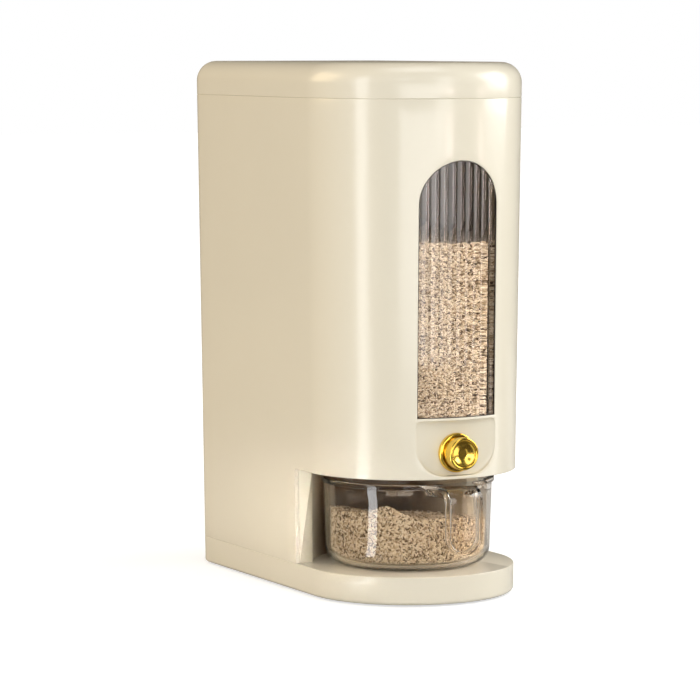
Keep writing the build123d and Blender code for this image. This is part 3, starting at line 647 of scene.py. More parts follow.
class Finish(Enum):
    """Every finish of the object."""

    IVORY = Moulding("ivory_moulding", (232, 225, 206), roughness=0.24, coat=0.3)
    # alcove liner: its own ivory, with shade painted in towards the back and on the roof
    ALCOVE = ShadePaintedMoulding("alcove_moulding_painted_shade", (240, 233, 214), roughness=0.3, coat=0.2)
    STORE = Moulding("store_moulding", (226, 216, 194), roughness=0.42, coat=0.0)
    MECHANISM = Moulding("mechanism_moulding", (205, 200, 188), roughness=0.5, coat=0.0, ripple_mm=0.05)
    SMOKED = ClearPlastic("smoked_pane", (0.925, 0.872, 0.822), ior=1.4, coat=0.3, ripple_mm=0.001)
    CUP = ClearPlastic("cup_plastic", (0.935, 0.87, 0.785), roughness=0.01)
    GOLD = GoldPlate("gold_plate")
    GASKET = Rubber("gasket_rubber", (44, 32, 24), 0.5)
    SILICONE = Rubber("silicone", (222, 219, 210), 0.5)
    FOOT = Rubber("foot_rubber", (52, 50, 48))
    STEEL = Zinc("zinc_steel")
    RICE = RiceHusk("rice_husk")


MATERIALS: dict[Finish, bpy.types.Material] = {finish: finish.value.make() for finish in Finish}

NODE_FINISH = {
    "base_tray": Finish.IVORY, "rubber_feet": Finish.FOOT, "base_screws": Finish.STEEL,
    "housing_shell": Finish.IVORY, "bay_liner": Finish.ALCOVE, "gate_guide": Finish.MECHANISM,
    "guide_screws": Finish.STEEL, "hopper": Finish.STORE, "hopper_screws": Finish.STEEL,
    "outlet_seal": Finish.SILICONE, "gate_plate": Finish.MECHANISM, "gate_screw": Finish.STEEL,
    "push_rod": Finish.STEEL, "button_cap": Finish.GOLD, "button_bezel": Finish.GOLD,
    "bezel_nut": Finish.MECHANISM, "spring_washer": Finish.STEEL, "return_spring": Finish.STEEL,
    "window_pane": Finish.SMOKED, "window_gasket": Finish.GASKET, "window_retainer": Finish.IVORY,
    "lid": Finish.IVORY, "lid_seal": Finish.SILICONE, "measuring_cup": Finish.CUP,
}


def paint_piece(thing: bpy.types.Object, finish: Finish) -> None:
    """Gives a piece one finish all over."""
    thing.data.materials.clear()
    thing.data.materials.append(MATERIALS[finish])


def seat(thing: bpy.types.Object, finish: Finish, body: str, slot: str | None, *nodes: str) -> None:
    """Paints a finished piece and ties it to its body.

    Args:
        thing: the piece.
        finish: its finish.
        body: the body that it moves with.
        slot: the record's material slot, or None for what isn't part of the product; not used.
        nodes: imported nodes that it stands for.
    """
    paint_piece(thing, finish)
    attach(thing, body)
    if nodes:
        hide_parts(*nodes)
    LOG.info("%s: %d faces, rides on %s", thing.name, len(thing.data.polygons), body)


# Geometry nodes

class Grower(Tree):
    """A geometry tree that ends in realised instances with their material."""

    def __init__(self, name: str, inputs: Sequence[tuple[str, str]]) -> None:
        """Makes the tree.

        Args:
            name: the tree's name.
            inputs: (name, socket type) of each input after the geometry.
        """
        group = bpy.data.node_groups.new(name, "GeometryNodeTree")
        super().__init__(group)
        group.interface.new_socket("Geometry", in_out="INPUT", socket_type="NodeSocketGeometry")
        group.interface.new_socket("Geometry", in_out="OUTPUT", socket_type="NodeSocketGeometry")
        self.identifiers = {}
        for label, kind in inputs:
            made = group.interface.new_socket(label, in_out="INPUT", socket_type=kind)
            self.identifiers[label] = made.identifier
        self.entry = self.node("NodeGroupInput")

    def given(self, label: str) -> bpy.types.NodeSocket:
        """The socket of a named input."""
        return self.entry.outputs[label]

    def end(self, geometry: bpy.types.NodeSocket) -> None:
        """Realises the instances and sets their material.

        Args:
            geometry: the instances.
        """
        real = self.node("GeometryNodeRealizeInstances", {}, {0: geometry})
        coloured = self.node("GeometryNodeSetMaterial", {}, {"Geometry": real.outputs[0],
                                                             "Material": self.given("Material")})
        self.node("NodeGroupOutput", {}, {0: coloured.outputs[0]})

    def grow(self, carrier: bpy.types.Object, values: dict[str, Any]) -> bpy.types.Object:
        """Runs the tree on an object and keeps the result as a plain mesh.

        Args:
            carrier: the object whose mesh goes in.
            values: one for each named input.
        Returns:
            The carrier, with its new mesh.
        """
        modifier = carrier.modifiers.new(self.tree.name, "NODES")
        modifier.node_group = self.tree
        for label, value in values.items():
            modifier[self.identifiers[label]] = value
        return baked(carrier)


@dataclass(frozen=True)
class Grains:
    """Rule that strews grains over a surface, each turned, tilted, sized and toned by chance."""

    sides: int = 4
    rings: int = 3
    sizes: tuple[float, float] = (0.82, 1.12)
    tones: tuple[float, float] = (0.06, 1.0)
    size_seed: int = 3
    rock_seed: int = 7
    tone_seed: int = 11

    def grain(self, grower: Grower) -> bpy.types.NodeSocket:
        """One smooth grain that lies along X.

        Args:
            grower: the tree that it goes in.
        Returns:
            The grain.
        """
        length, thickness = grower.given("Grain length"), grower.given("Grain thickness")
        ball = grower.node("GeometryNodeMeshUVSphere", {}, {
            "Segments": self.sides, "Rings": self.rings, "Radius": 0.5})
        size = grower.node("ShaderNodeCombineXYZ", {}, {0: length, 1: thickness, 2: thickness})
        level = grower.node("FunctionNodeEulerToRotation", {}, {0: (0.0, math.pi / 2, 0.0)})
        lying = grower.node("GeometryNodeTransform", {}, {0: ball.outputs[0], "Rotation": level.outputs[0]})
        sized = grower.node("GeometryNodeTransform", {}, {0: lying.outputs[0], "Scale": size.outputs[0]})
        return grower.node("GeometryNodeSetShadeSmooth", {}, {0: sized.outputs[0]}).outputs[0]

    def tree(self) -> Grower:
        """Builds the tree.

        Returns:
            The tree, whose inputs are the density, the grain's sizes, the tilt, the seed and the material.
        """
        grower = Grower("strewn_grains", (
            ("Grains per square metre", "NodeSocketFloat"), ("Grain length", "NodeSocketFloat"),
            ("Grain thickness", "NodeSocketFloat"), ("Tilt", "NodeSocketFloat"), ("Seed", "NodeSocketInt"),
            ("Material", "NodeSocketMaterial")))
        chance = "FunctionNodeRandomValue"
        number = {"data_type": "FLOAT"}
        strewn = grower.node("GeometryNodeDistributePointsOnFaces", {"distribute_method": "RANDOM"}, {
            "Mesh": grower.given("Geometry"), "Density": grower.given("Grains per square metre"),
            "Seed": grower.given("Seed")})
        swing = grower.node(chance, number, {2: 0.0, 3: 2 * math.pi, "Seed": grower.given("Seed")})
        tilt = Value(grower, grower.given("Tilt"))
        rock = grower.node(chance, number, {
            2: tilt * -1.0, 3: tilt, "ID": grower.node("GeometryNodeInputIndex").outputs[0],
            "Seed": self.rock_seed})
        turn = grower.node("ShaderNodeCombineXYZ", {}, {1: rock.outputs[1], 2: swing.outputs[1]})
        own = grower.node("FunctionNodeEulerToRotation", {}, {0: turn.outputs[0]})
        laid = grower.node("FunctionNodeRotateRotation", {"rotation_space": "LOCAL"}, {
            0: strewn.outputs["Rotation"], 1: own.outputs[0]})
        bulk = grower.node(chance, number, {2: self.sizes[0], 3: self.sizes[1], "Seed": self.size_seed})
        heap = grower.node("GeometryNodeInstanceOnPoints", {}, {
            "Points": strewn.outputs["Points"], "Instance": self.grain(grower),
            "Rotation": laid.outputs[0], "Scale": bulk.outputs[1]})
        tone = grower.node(chance, number, {2: self.tones[0], 3: self.tones[1], "Seed": self.tone_seed})
        toned = grower.node("GeometryNodeStoreNamedAttribute", {"data_type": "FLOAT", "domain": "INSTANCE"}, {
            0: heap.outputs[0], "Name": GRAIN_TONE, "Value": tone.outputs[1]})
        grower.end(toned.outputs[0])
        return grower


# The body's form

@dataclass(frozen=True)
class BodyForm:
    """D-shaped plan, round in front and flat behind, whose walls lean in towards the base."""

    axis_y: float
    half: float
    rear_y: float
    widest: float
    bay_y: float
    draft: float = 0.75
    corner: float = 20.0
    front_steps: int = 120
    side_steps: int = 10
    corner_steps: int = 12
    rear_steps: int = 16

    @classmethod
    def from_frame(cls, edge: float = 16.0, bay_behind_axis: float = 28.5) -> "BodyForm":
        """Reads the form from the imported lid.

        Args:
            edge: rounding of the lid's top edge.
            bay_behind_axis: how far behind the front curve's axis the bay ends.
        Returns:
            The form.
        """
        low, high = span("lid")
        axis_y = low[1] + high[0]
        return cls(axis_y, high[0], high[1], high[2] - edge, axis_y + bay_behind_axis)

    @property
    def slope(self) -> float:
        """How far a wall leans in for each millimetre down."""
        return math.tan(math.radians(self.draft))

    def radius(self, level: Any, inset: float = 0.0) -> Any:
        """Radius of the front curve at a level."""
        return self.half - (self.widest - level) * self.slope - inset

    def angles(self) -> np.ndarray:
        """Places round the front curve, from the left side to the right, in radians off the front."""
        return np.radians(np.linspace(-90, 90, self.front_steps + 1))

    def on_front(self, angle: Any, level: Any, inset: float) -> np.ndarray:
        """Points of the front curve at angles off the front and at levels.

        Args:
            angle: places round the curve in radians off the front.
            level: one level, or one for each place.
            inset: how far inside they lie.
        Returns:
            Rows of (x, y, z).
        """
        radius = self.radius(level, inset)
        return np.stack([radius * np.sin(angle), self.axis_y - radius * np.cos(angle),
                         np.broadcast_to(level, np.shape(radius * np.sin(angle)))], -1)

    def front_y(self, across: np.ndarray, level: Any, inset: float = 0.0) -> np.ndarray:
        """Y of the front curve at places across it."""
        return self.axis_y - np.sqrt(self.radius(level, inset) ** 2 - across ** 2)

    def back_rail(self, level: float, inset: float) -> np.ndarray:
        """Row from the right side of the bay round the rear to the left side of the bay.

        Args:
            level: the row's level.
            inset: how far inside the outer face it lies.
        Returns:
            Rows of (x, y, z).
        """
        radius = self.radius(level, inset)
        corner = max(self.corner - (self.widest - level) * self.slope - inset, 1.0)
        rear = self.rear_y - (self.widest - level) * self.slope - inset
        side = np.linspace(self.bay_y, rear - corner, self.side_steps + 1)[:-1]
        bend = np.radians(np.linspace(0, 90, self.corner_steps + 1))
        right = [(radius, y) for y in side]
        right += [(radius - corner + corner * math.cos(turn), rear - corner + corner * math.sin(turn))
                  for turn in bend]
        middle = np.linspace(radius - corner, corner - radius, self.rear_steps + 1)[1:-1]
        row = right + [(x, rear) for x in middle] + [(-x, y) for x, y in reversed(right)]
        return np.array([(x, y, level) for x, y in row])

    def front_rail(self, level: float, inset: float) -> np.ndarray:
        """Row round the front curve."""
        return self.on_front(self.angles(), level, inset)

    def rail(self, level: float, inset: float) -> np.ndarray:
        """The whole closed row: front curve, then the right side, the rear and the left side."""
        return np.concatenate([self.front_rail(level, inset), self.back_rail(level, inset)])

    def swept(self, skin: Skin, profile: Sequence[tuple[float, float]]) -> list[np.ndarray]:
        """Runs a profile round the body.

        Args:
            skin: where the faces go.
            profile: (level, inset) points.
        Returns:
            The rows' numbers.
        """
        return skin.stack([self.rail(level, inset) for level, inset in profile])


def rounded_corner(level: float, inset: float, radius: float, start: float, end: float,
                   steps: int = 5) -> list[tuple[float, float]]:
    """Quarter of a rounding in a (level, inset) profile, about a centre, from start to end in degrees."""
    turns = np.radians(np.linspace(start, end, steps + 1))
    return [(level + radius * math.sin(turn), inset - radius * math.cos(turn)) for turn in turns]


@dataclass
class Lid:
    """Cover with a round top edge, a ledge on the housing's rim and a skirt with a groove for its seal."""

    form: BodyForm
    edge: float = 16.0
    wall: float = 2.6
    seam_edge: float = 0.8
    skirt_inset: float = 4.2
    skirt: float = 2.2
    skirt_depth: float = 12.0
    groove: tuple[float, float, float] = (3.9, 8.1, 1.0)
    top_rows: tuple[int, ...] = (26, 40, 56, 70)
    ceiling_rows: tuple[int, ...] = (30, 50, 70)

    def build(self) -> None:
        """Makes the lid's mesh and dresses it."""
        low, high = span("lid")
        top, foot = high[2], low[2]
        seam = foot + self.skirt_depth
        inner = self.skirt_inset + self.skirt
        near, far, deep = self.groove
        profile = rounded_corner(seam + self.seam_edge, self.seam_edge, self.seam_edge, -90, 0)
        profile += rounded_corner(top - self.edge, self.edge, self.edge, 0, 90, 14)
        skin = Skin()
        rows = self.form.swept(skin, profile + [(top, inset) for inset in self.top_rows])
        skin.cap(rows[-1])
        inside = [
            (seam, self.seam_edge), (seam, self.skirt_inset),
            (seam - near, self.skirt_inset), (seam - near, self.skirt_inset + deep),
            (seam - far, self.skirt_inset + deep), (seam - far, self.skirt_inset), (foot, self.skirt_inset),
            (foot, inner), (seam + self.wall, inner), (seam + self.wall, self.wall)]
        bend = self.edge - self.wall
        inside += rounded_corner(top - self.edge, self.edge, bend, 0, 90, 10)
        rows = self.form.swept(skin, inside + [(top - self.wall, inset) for inset in self.ceiling_rows])
        skin.cap(rows[-1])
        seat(skin.piece("lid_cover"), Finish.IVORY, "lid", "body_plastic", "lid")


@dataclass
class Window:
    """Arched opening in the front wall, as seen from the front."""

    half: float
    bottom: float
    top: float
    foot_gap: float = 0.2

    @classmethod
    def from_frame(cls, lip: float = 6.0) -> "Window":
        """Reads the opening from the pane, whose flange reaches past it by lip."""
        low, high = span("window_pane")
        return cls(high[0] - lip, low[2] - cls.foot_gap, high[2] - lip)

    @property
    def spring(self) -> float:
        """Level where the round head starts."""
        return self.top - self.half

    def outline(self, across: int, side: int, head: int, grow: float = 0.0) -> tuple[np.ndarray, np.ndarray]:
        """Points round the opening and their outward directions, seen from the front.

        Args:
            across: steps along the bottom.
            side: steps up each straight side.
            head: steps round the head.
            grow: how much larger the outline is.
        Returns:
            (x, z) points and (x, z) directions, from the bottom left corner round by the right.
        """
        half, low = self.half + grow, self.bottom - grow
        xs = np.linspace(-half, half, across + 1)[:-1]
        zs = np.linspace(low, self.spring, side + 1)[:-1]
        turn = np.radians(np.linspace(0, 180, head + 1))[:-1]
        points = [(x, low) for x in xs] + [(half, z) for z in zs]
        points += [(half * math.cos(t), self.spring + half * math.sin(t)) for t in turn]
        points += [(-half, self.spring + low - z) for z in zs]
        ways = [(0.0, -1.0)] * len(xs) + [(1.0, 0.0)] * len(zs)
        ways += [(math.cos(t), math.sin(t)) for t in turn] + [(-1.0, 0.0)] * len(zs)
        ways[0] = (-1.0, -1.0)
        ways[len(xs)] = (1.0, -1.0)
        return np.array(points), np.array(ways)


@dataclass
class Recess:
    """Flat round-bottomed recess for the button, as seen from the front."""

    half: float
    bottom: float
    top: float
    corner: float = 24.0
    top_corner: float = 5.0

    @classmethod
    def below(cls, window: Window, reach: float = 1.0, foot: float = 0.6, gap: float = 2.2) -> "Recess":
        """The recess under a window.

        Args:
            window: the window.
            reach: how far each side lies outside the window's.
            foot: how far its bottom is below the bay liner's top.
            gap: how far its top is below the window.
        Returns:
            The recess.
        """
        return cls(window.half + reach, span("bay_liner")[1][2] - foot, window.bottom - gap)

    def outline(self, across: int, side: int) -> tuple[np.ndarray, np.ndarray]:
        """Points round the recess and their outward directions, seen from the front.

        Args:
            across: steps along the bottom and along the top.
            side: steps up each side.
        Returns:
            (x, z) points and (x, z) directions, from the middle of the lower left corner round by the right.
        """
        corners = []
        for sign, level, radius in ((-1, self.bottom, self.corner), (1, self.bottom, self.corner),
                                    (1, self.top, self.top_corner), (-1, self.top, self.top_corner)):
            up = radius if level == self.bottom else -radius
            corners.append(((sign * (self.half - radius), level + up), radius))
        points, ways = [], []
        for number, steps in enumerate((across, side, across, side)):
            start = 225 + 90 * number
            table = np.array(self._leg(*corners[number], start, start + 45)
                             + self._leg(*corners[(number + 1) % 4], start + 45, start + 90))
            run = np.concatenate([[0], np.cumsum(np.hypot(*np.diff(table[:, :2], axis=0).T))])
            stops = np.linspace(0, run[-1], steps + 1)[:-1]
            columns = [np.interp(stops, run, table[:, column]) for column in range(4)]
            points.append(np.stack(columns[:2], 1))
            ways.append(np.stack(columns[2:], 1))
        return np.concatenate(points), np.concatenate(ways)

    @staticmethod
    def _leg(centre: tuple[float, float], radius: float, start: float, end: float) -> list[tuple[float, ...]]:
        """Part of a corner as (x, z, way x, way z) rows.

        Args:
            centre: the corner's centre.
            radius: its radius.
            start: where the part starts, in degrees.
            end: where it ends.
        Returns:
            The rows.
        """
        turns = np.radians(np.linspace(start, end, 25))
        return [(centre[0] + radius * math.cos(t), centre[1] + radius * math.sin(t), math.cos(t), math.sin(t))
                for t in turns]


@dataclass
class Housing:
    """Tall wall with the window opening, the button's flat recess and the bay cut out of its foot."""

    form: BodyForm
    window: Window
    recess: Recess
    button_z: float
    recess_y: float
    hole_radius: float = 14.2
    wall: float = 3.0
    bay_ceiling: float = 3.0
    patch: float = 30.0
    low_steps: int = 14
    high_steps: int = 24
    window_edge: float = 0.7
    recess_edge: float = 1.8
    recess_fillet: float = 2.2
    recess_blend: tuple[float, float] = (7.5, 0.6)
    recess_sweep: float = 4.5
    recess_share: float = 0.45
    bend_steps: int = 7
    rear_rows: int = 8
    spread: tuple[float, ...] = (0.0, 0.12, 0.3, 0.55, 0.78, 1.0)
    rim_edge: float = 0.7
    seam_margin: float = 0.01
    crisp_turn: float = 1.0

    def __post_init__(self) -> None:
        """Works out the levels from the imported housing."""
        low, high = span("housing_shell")
        self.foot, self.seam = low[2], high[2]
        self.bay_top = span("bay_liner")[1][2] - self.bay_ceiling
        self.split = (self.recess.top + self.window.bottom) / 2
        self.low_levels = np.linspace(self.bay_top, self.split, self.low_steps + 1)
        self.high_levels = np.linspace(self.split, self.seam, self.high_steps + 1)
        angles = np.degrees(self.form.angles())
        self.left = int(np.searchsorted(angles, -self.patch - 0.01))
        self.right = len(angles) - 1 - self.left
        self.across = self.right - self.left

    def patch_rim(self, levels: np.ndarray) -> tuple[np.ndarray, np.ndarray]:
        """Angles and levels round the patch, from its lower left corner round by the right.

        Args:
            levels: the patch's levels.
        Returns:
            The angles and the levels.
        """
        angles = self.form.angles()[self.left:self.right + 1]
        side = len(levels) - 1
        around = np.concatenate([
            angles[:-1], np.full(side, angles[-1]), angles[:0:-1], np.full(side, angles[0])])
        height = np.concatenate([
            np.full(self.across, levels[0]), levels[:-1], np.full(self.across, levels[-1]), levels[:0:-1]])
        return around, height

    def field(self, skin: Skin, points: np.ndarray, levels: np.ndarray, inset: float) -> None:
        """Fills the wall between an opening and the rim of its patch.

        Args:
            skin: where the faces go.
            points: (x, z) points round the opening.
            levels: the patch's levels.
            inset: 0 outside, or the wall's thickness inside.
        """
        around, height = self.patch_rim(levels)
        angle = np.arcsin(points[:, 0] / self.form.radius(points[:, 1], inset))
        rows = []
        for share in self.spread:
            rows.append(self.form.on_front(angle + (around - angle) * share,
                                           points[:, 1] + (height - points[:, 1]) * share, inset))
        skin.stack(rows)

    def plain_wall(self, skin: Skin, inset: float) -> None:
        """The wall round the patch, and the wall below it behind the bay.

        Args:
            skin: where the faces go.
            inset: 0 outside, or the wall's thickness inside.
        """
        levels = np.concatenate([self.low_levels, self.high_levels[1:]])
        rows = [np.roll(self.form.rail(level, inset), -self.right, axis=0) for level in levels]
        kept = len(rows[0]) - self.across + 1
        skin.stack([row[:kept] for row in rows], closed=False)
        foot_levels = np.linspace(self.foot, self.bay_top, self.rear_rows)
        skin.stack([self.form.back_rail(level, inset) for level in foot_levels], closed=False)

    def rims(self, skin: Skin) -> None:
        """Joins the outer and inner walls along the seams and round the bay.

        Args:
            skin: where the faces go.
        """
        form = self.form
        skin.stack([form.rail(self.seam, 0), form.rail(self.seam, self.wall)])
        front = []
        for inset in (0.0, self.wall):
            back = form.back_rail(self.bay_top, inset)
            front.append(np.concatenate([back[-1:], form.front_rail(self.bay_top, inset), back[:1]]))
        skin.stack(front, closed=False)
        skin.stack([form.back_rail(self.foot, 0), form.back_rail(self.foot, self.wall)], closed=False)
        levels = np.linspace(self.foot, self.bay_top, self.rear_rows)
        for end in (0, -1):
            skin.stack([np.array([form.back_rail(level, inset)[end] for level in levels])
                        for inset in (0.0, self.wall)], closed=False)

    def window_opening(self, skin: Skin) -> None:
        """Outer and inner wall round the window and the reveal between them.

        Args:
            skin: where the faces go.
        """
        side = int(np.searchsorted(self.high_levels, self.window.spring)) - 1
        head = 2 * (self.high_steps - side) + self.across
        points, ways = self.window.outline(self.across, side, head)
        rows = []
        for turn in np.radians(np.linspace(0, 90, 5)):
            out = self.window_edge * (1 - math.sin(turn))
            deep = self.window_edge * (1 - math.cos(turn))
            moved = points + ways * out
            y = self.form.front_y(moved[:, 0], moved[:, 1]) + deep
            rows.append(np.stack([moved[:, 0], y, moved[:, 1]], 1))
        inner = self.form.front_y(points[:, 0], points[:, 1], self.wall)
        rows.append(np.stack([points[:, 0], inner, points[:, 1]], 1))
        skin.stack(rows)
        self.field(skin, points + ways * self.window_edge, self.high_levels, 0.0)
        self.field(skin, points, self.high_levels, self.wall)

    def button_recess(self, skin: Skin) -> None:
        """Flat recess with soft edges, the button's hole and the thick wall behind it.

        Args:
            skin: where the faces go.
        """
        points, ways = self.recess.outline(self.across, self.low_steps)
        depth = self.recess_y - self.form.front_y(points[:, 0], points[:, 1])
        edge = np.minimum(self.recess_edge, self.recess_share * depth)
        fillet = np.minimum(self.recess_fillet, self.recess_share * depth)
        blend = ways * np.array(self.recess_blend)
        bends = np.radians(np.linspace(0, 90, self.bend_steps + 1))
        rows = []
        for turn in bends:
            moved = points + blend * (1 - math.sin(turn))
            y = self.form.front_y(moved[:, 0], moved[:, 1]) + edge * (1 - math.cos(turn))
            rows.append(np.stack([moved[:, 0], y, moved[:, 1]], 1))
        for turn in bends:
            moved = points - ways * self.recess_sweep * (1 - math.cos(turn))
            y = self.recess_y - fillet * (1 - math.sin(turn))
            rows.append(np.stack([moved[:, 0], y, moved[:, 1]], 1))
        floor = rows[-1]
        swing = np.arctan2(floor[:, 2] - self.button_z, floor[:, 0])
        hole = np.stack([self.hole_radius * np.cos(swing), np.full(len(swing), self.recess_y),
                         self.button_z + self.hole_radius * np.sin(swing)], 1)
        for share in (0.3, 0.7, 1.0):
            rows.append(floor + (hole - floor) * share)
        rows.append(hole + np.array([0.0, self.wall, 0.0]))
        inner = self.form.front_y(points[:, 0], points[:, 1], self.wall)
        shelf = np.stack([points[:, 0], np.full(len(points), self.recess_y + self.wall), points[:, 1]], 1)
        rows += [shelf, np.stack([points[:, 0], inner, points[:, 1]], 1)]
        skin.stack(rows)
        self.field(skin, points + blend, self.low_levels, 0.0)
        self.field(skin, points, self.low_levels, self.wall)

    def build(self) -> None:
        """Makes the housing's mesh, rounds its seams and dresses it."""
        skin = Skin()
        for inset in (0.0, self.wall):
            self.plain_wall(skin, inset)
        self.rims(skin)
        self.window_opening(skin)
        self.button_recess(skin)
        shell = skin.piece("housing_wall")
        self.mark_seams(shell)
        bevel = shell.modifiers.new("seam_rounding", "BEVEL")
        bevel.limit_method = "WEIGHT"
        bevel.width = self.rim_edge * MM
        bevel.segments = 3
        baked(shell)
        shell.data.set_sharp_from_angle(angle=math.radians(40))
        seat(shell, Finish.IVORY, "housing", "body_plastic", "housing_shell")

    def mark_seams(self, shell: bpy.types.Object) -> None:
        """Weights the crisp edges along the seams and round the bay for rounding.

        Args:
            shell: the housing.
        """
        work = bmesh.new()
        work.from_mesh(shell.data)
        weight = work.edges.layers.float.new("bevel_weight_edge")
        low, high = (self.bay_top + self.seam_margin) * MM, (self.seam - self.seam_margin) * MM
        for edge in work.edges:
            level = (edge.verts[0].co.z + edge.verts[1].co.z) / 2
            crisp = edge.is_manifold and edge.calc_face_angle(0) > self.crisp_turn
            if crisp and not low <= level <= high:
                edge[weight] = 1.0
        work.to_mesh(shell.data)
        work.free()


@dataclass
class WindowGlazing:
    """Fluted smoked pane and the dark gasket round it."""

    form: BodyForm
    window: Window
    flutes: int = 9
    steps: int = 10
    flute_radius: float = 7.6
    set_back: float = 0.7
    lip: float = 0.55
    flange: float = 6.0
    flange_front: float = 3.6
    back: float = 5.4
    rows: int = 40
    side_stops: tuple[float, ...] = (0.06, 0.2, 0.45, 1.4)
    pad_front: float = 3.02
    pad_gap: float = 0.1

    def columns(self) -> np.ndarray:
        """Shares across the opening, from -1 to 1, closer together near the sides.

        Returns:
            The shares in order.
        """
        even = np.linspace(-1, 1, self.flutes * self.steps + 1)
        pitch = 2 / (self.flutes * self.steps)
        extra = 1 - pitch * np.array(self.side_stops)
        return np.unique(np.round(np.concatenate([even, extra, -extra]), 7))

    def sheet(self, grow: float, depth: Callable[[np.ndarray], np.ndarray]) -> np.ndarray:
        """Grid over the opening, grown outwards.

        Args:
            grow: how much larger than the opening it is.
            depth: the inset at each share across the opening.
        Returns:
            Rows of points, from the bottom up.
        """
        shares = self.columns()
        half = self.window.half + grow
        low = self.window.bottom + self.window.foot_gap
        inset = depth(shares)
        grid = []
        x = shares * half
        top = self.window.spring + np.sqrt(np.maximum(half ** 2 - x ** 2, 0))
        for step in np.linspace(0, 1, self.rows + 1):
            level = low + (top - low) * step
            y = self.form.axis_y - np.sqrt(self.form.radius(level, inset) ** 2 - x ** 2)
            grid.append(np.stack([x, y, level], 1))
        return np.array(grid)

    def ripple(self, shares: np.ndarray) -> np.ndarray:
        """Inset of the fluted face at each share across the opening.

        Args:
            shares: places across the opening, from -1 to 1.
        Returns:
            The insets.
        """
        pitch = 2 * math.asin(self.window.half / self.form.radius((self.window.bottom + self.window.top) / 2))
        half_chord = self.form.half * pitch / self.flutes / 2
        place = ((shares + 1) / 2 * self.flutes) % 1.0
        off = (2 * place - 1) * half_chord
        return self.set_back + self.flute_radius - np.sqrt(self.flute_radius ** 2 - off ** 2)

    @staticmethod
    def rim(grid: np.ndarray) -> np.ndarray:
        """Row round a grid's edge."""
        return np.concatenate([grid[0, :-1], grid[:-1, -1], grid[-1, :0:-1], grid[:0:-1, 0]])

    def build(self) -> None:
        """Makes the pane and the gasket and dresses them."""
        skin = Skin()
        face = self.sheet(-self.lip, self.ripple)
        behind = self.sheet(self.flange, lambda shares: np.full(len(shares), self.back))
        front = self.sheet(self.flange, lambda shares: np.full(len(shares), self.flange_front))
        neck = self.sheet(-self.lip, lambda shares: np.full(len(shares), self.flange_front))
        skin.stack(list(face), closed=False)
        skin.stack(list(behind), closed=False)
        skin.stack([self.rim(face), self.rim(neck), self.rim(front), self.rim(behind)])
        seat(skin.piece("fluted_pane", sharp=50), Finish.SMOKED, "housing", "smoked_clear", "window_pane")
        self.build_gasket()

    def build_gasket(self) -> None:
        """Makes the gasket: a lip round the pane and a pad under its flange."""
        skin = Skin()
        outer, inner, reach = -self.pad_gap, self.pad_gap - self.lip, self.flange - self.pad_gap
        pairs = ((outer, self.set_back), (inner, self.set_back), (inner, self.flange_front),
                 (reach, self.flange_front), (reach, self.pad_front), (outer, self.pad_front),
                 (outer, self.set_back))
        rows = []
        for grow, inset in pairs:
            points, _ = self.window.outline(60, 60, 96, grow)
            level = np.maximum(points[:, 1], self.window.bottom + self.window.foot_gap)
            y = self.form.front_y(points[:, 0], level, inset)
            rows.append(np.stack([points[:, 0], y, level], 1))
        skin.stack(rows)
        seat(skin.piece("pane_gasket"), Finish.GASKET, "housing", "dark_gasket", "window_gasket")


@dataclass
class Button:
    """Gold push cap with a dished face, in a proud collar."""

    axis_z: float
    cap_radius: float
    collar_radius: float
    recess_y: float
    lip: float = 1.2
    dish_depth: float = 3.3
    dish_flat: float = 0.3
    dish_points: int = 21
    cap_wall: float = 2.4
    cap_floor: float = 9.5
    rod_radius: float = 2.6
    rod_depth: float = 3.0
    sleeve_length: float = 10.0
    sleeve_step: float = 1.05
    collar_gap: float = 0.3
    collar_edge: float = 1.5
    mouth: tuple[float, float] = (0.25, 0.4)
    foot: tuple[float, float] = (0.3, 0.6)
    foot_lean: float = 0.02

    @classmethod
    def from_frame(cls) -> "Button":
        """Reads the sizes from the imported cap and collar.

        Returns:
            The button.
        """
        low, high = span("button_cap")
        collar = span("button_bezel")[1]
        return cls((low[2] + high[2]) / 2, high[0], collar[0], collar[1] - cls.sleeve_length)

    def build(self) -> None:
        """Makes the cap and the collar and dresses them."""
        for make, name, body, node in ((self.cap, "push_cap", "plunger", "button_cap"),
                                       (self.collar, "button_collar", "housing", "button_bezel")):
            low, high = span(node)
            thing = turned(name, make(low[1], high[1]), (0.0, 0.0, self.axis_z))
            seat(thing, Finish.GOLD, body, "gold", node)

    def cap(self, front: float, rear: float) -> list[tuple[float, float]]:
        """Outline of the cap: dish, round lip, wall and the socket of the rod.

        Args:
            front: Y of its face.
            rear: Y of its open end.
        Returns:
            (radius, y) points.
        """
        lip, radius = self.lip, self.cap_radius
        bore, floor = radius - self.cap_wall, front + self.cap_floor
        dish = radius - 2 * lip
        profile = []
        for share in np.linspace(0, 1, self.dish_points):
            up = max(share - self.dish_flat, 0.0) / (1 - self.dish_flat)
            rise = (self.dish_depth - lip) * up * up * (3 - 2 * up)
            profile.append((dish * share, front + self.dish_depth - rise))
        profile += arc((radius - lip, front + lip), lip, 180, 360, 18)
        end = floor - self.rod_depth
        return profile + [(radius, rear), (bore, rear), (bore, floor), (self.rod_radius, floor),
                          (self.rod_radius, end), (0.0, end)]

    def collar(self, front: float, rear: float) -> list[tuple[float, float]]:
        """Outline of the collar: mouth, round edge, foot on the recess and sleeve through the wall.

        Args:
            front: Y of its mouth.
            rear: Y of its sleeve's end.
        Returns:
            (radius, y) points.
        """
        outer, edge = self.collar_radius, self.collar_edge
        bore, sleeve = self.cap_radius + self.collar_gap, outer - self.sleeve_step
        profile = [(bore, front + self.mouth[1]), (bore + self.mouth[0], front)]
        profile += arc((outer - edge, front + edge), edge, 270, 350, 8)
        return profile + [(outer - self.foot_lean, self.recess_y - self.foot[1]),
                          (outer - self.foot[0], self.recess_y), (sleeve, self.recess_y), (sleeve, rear),
                          (bore, rear)]


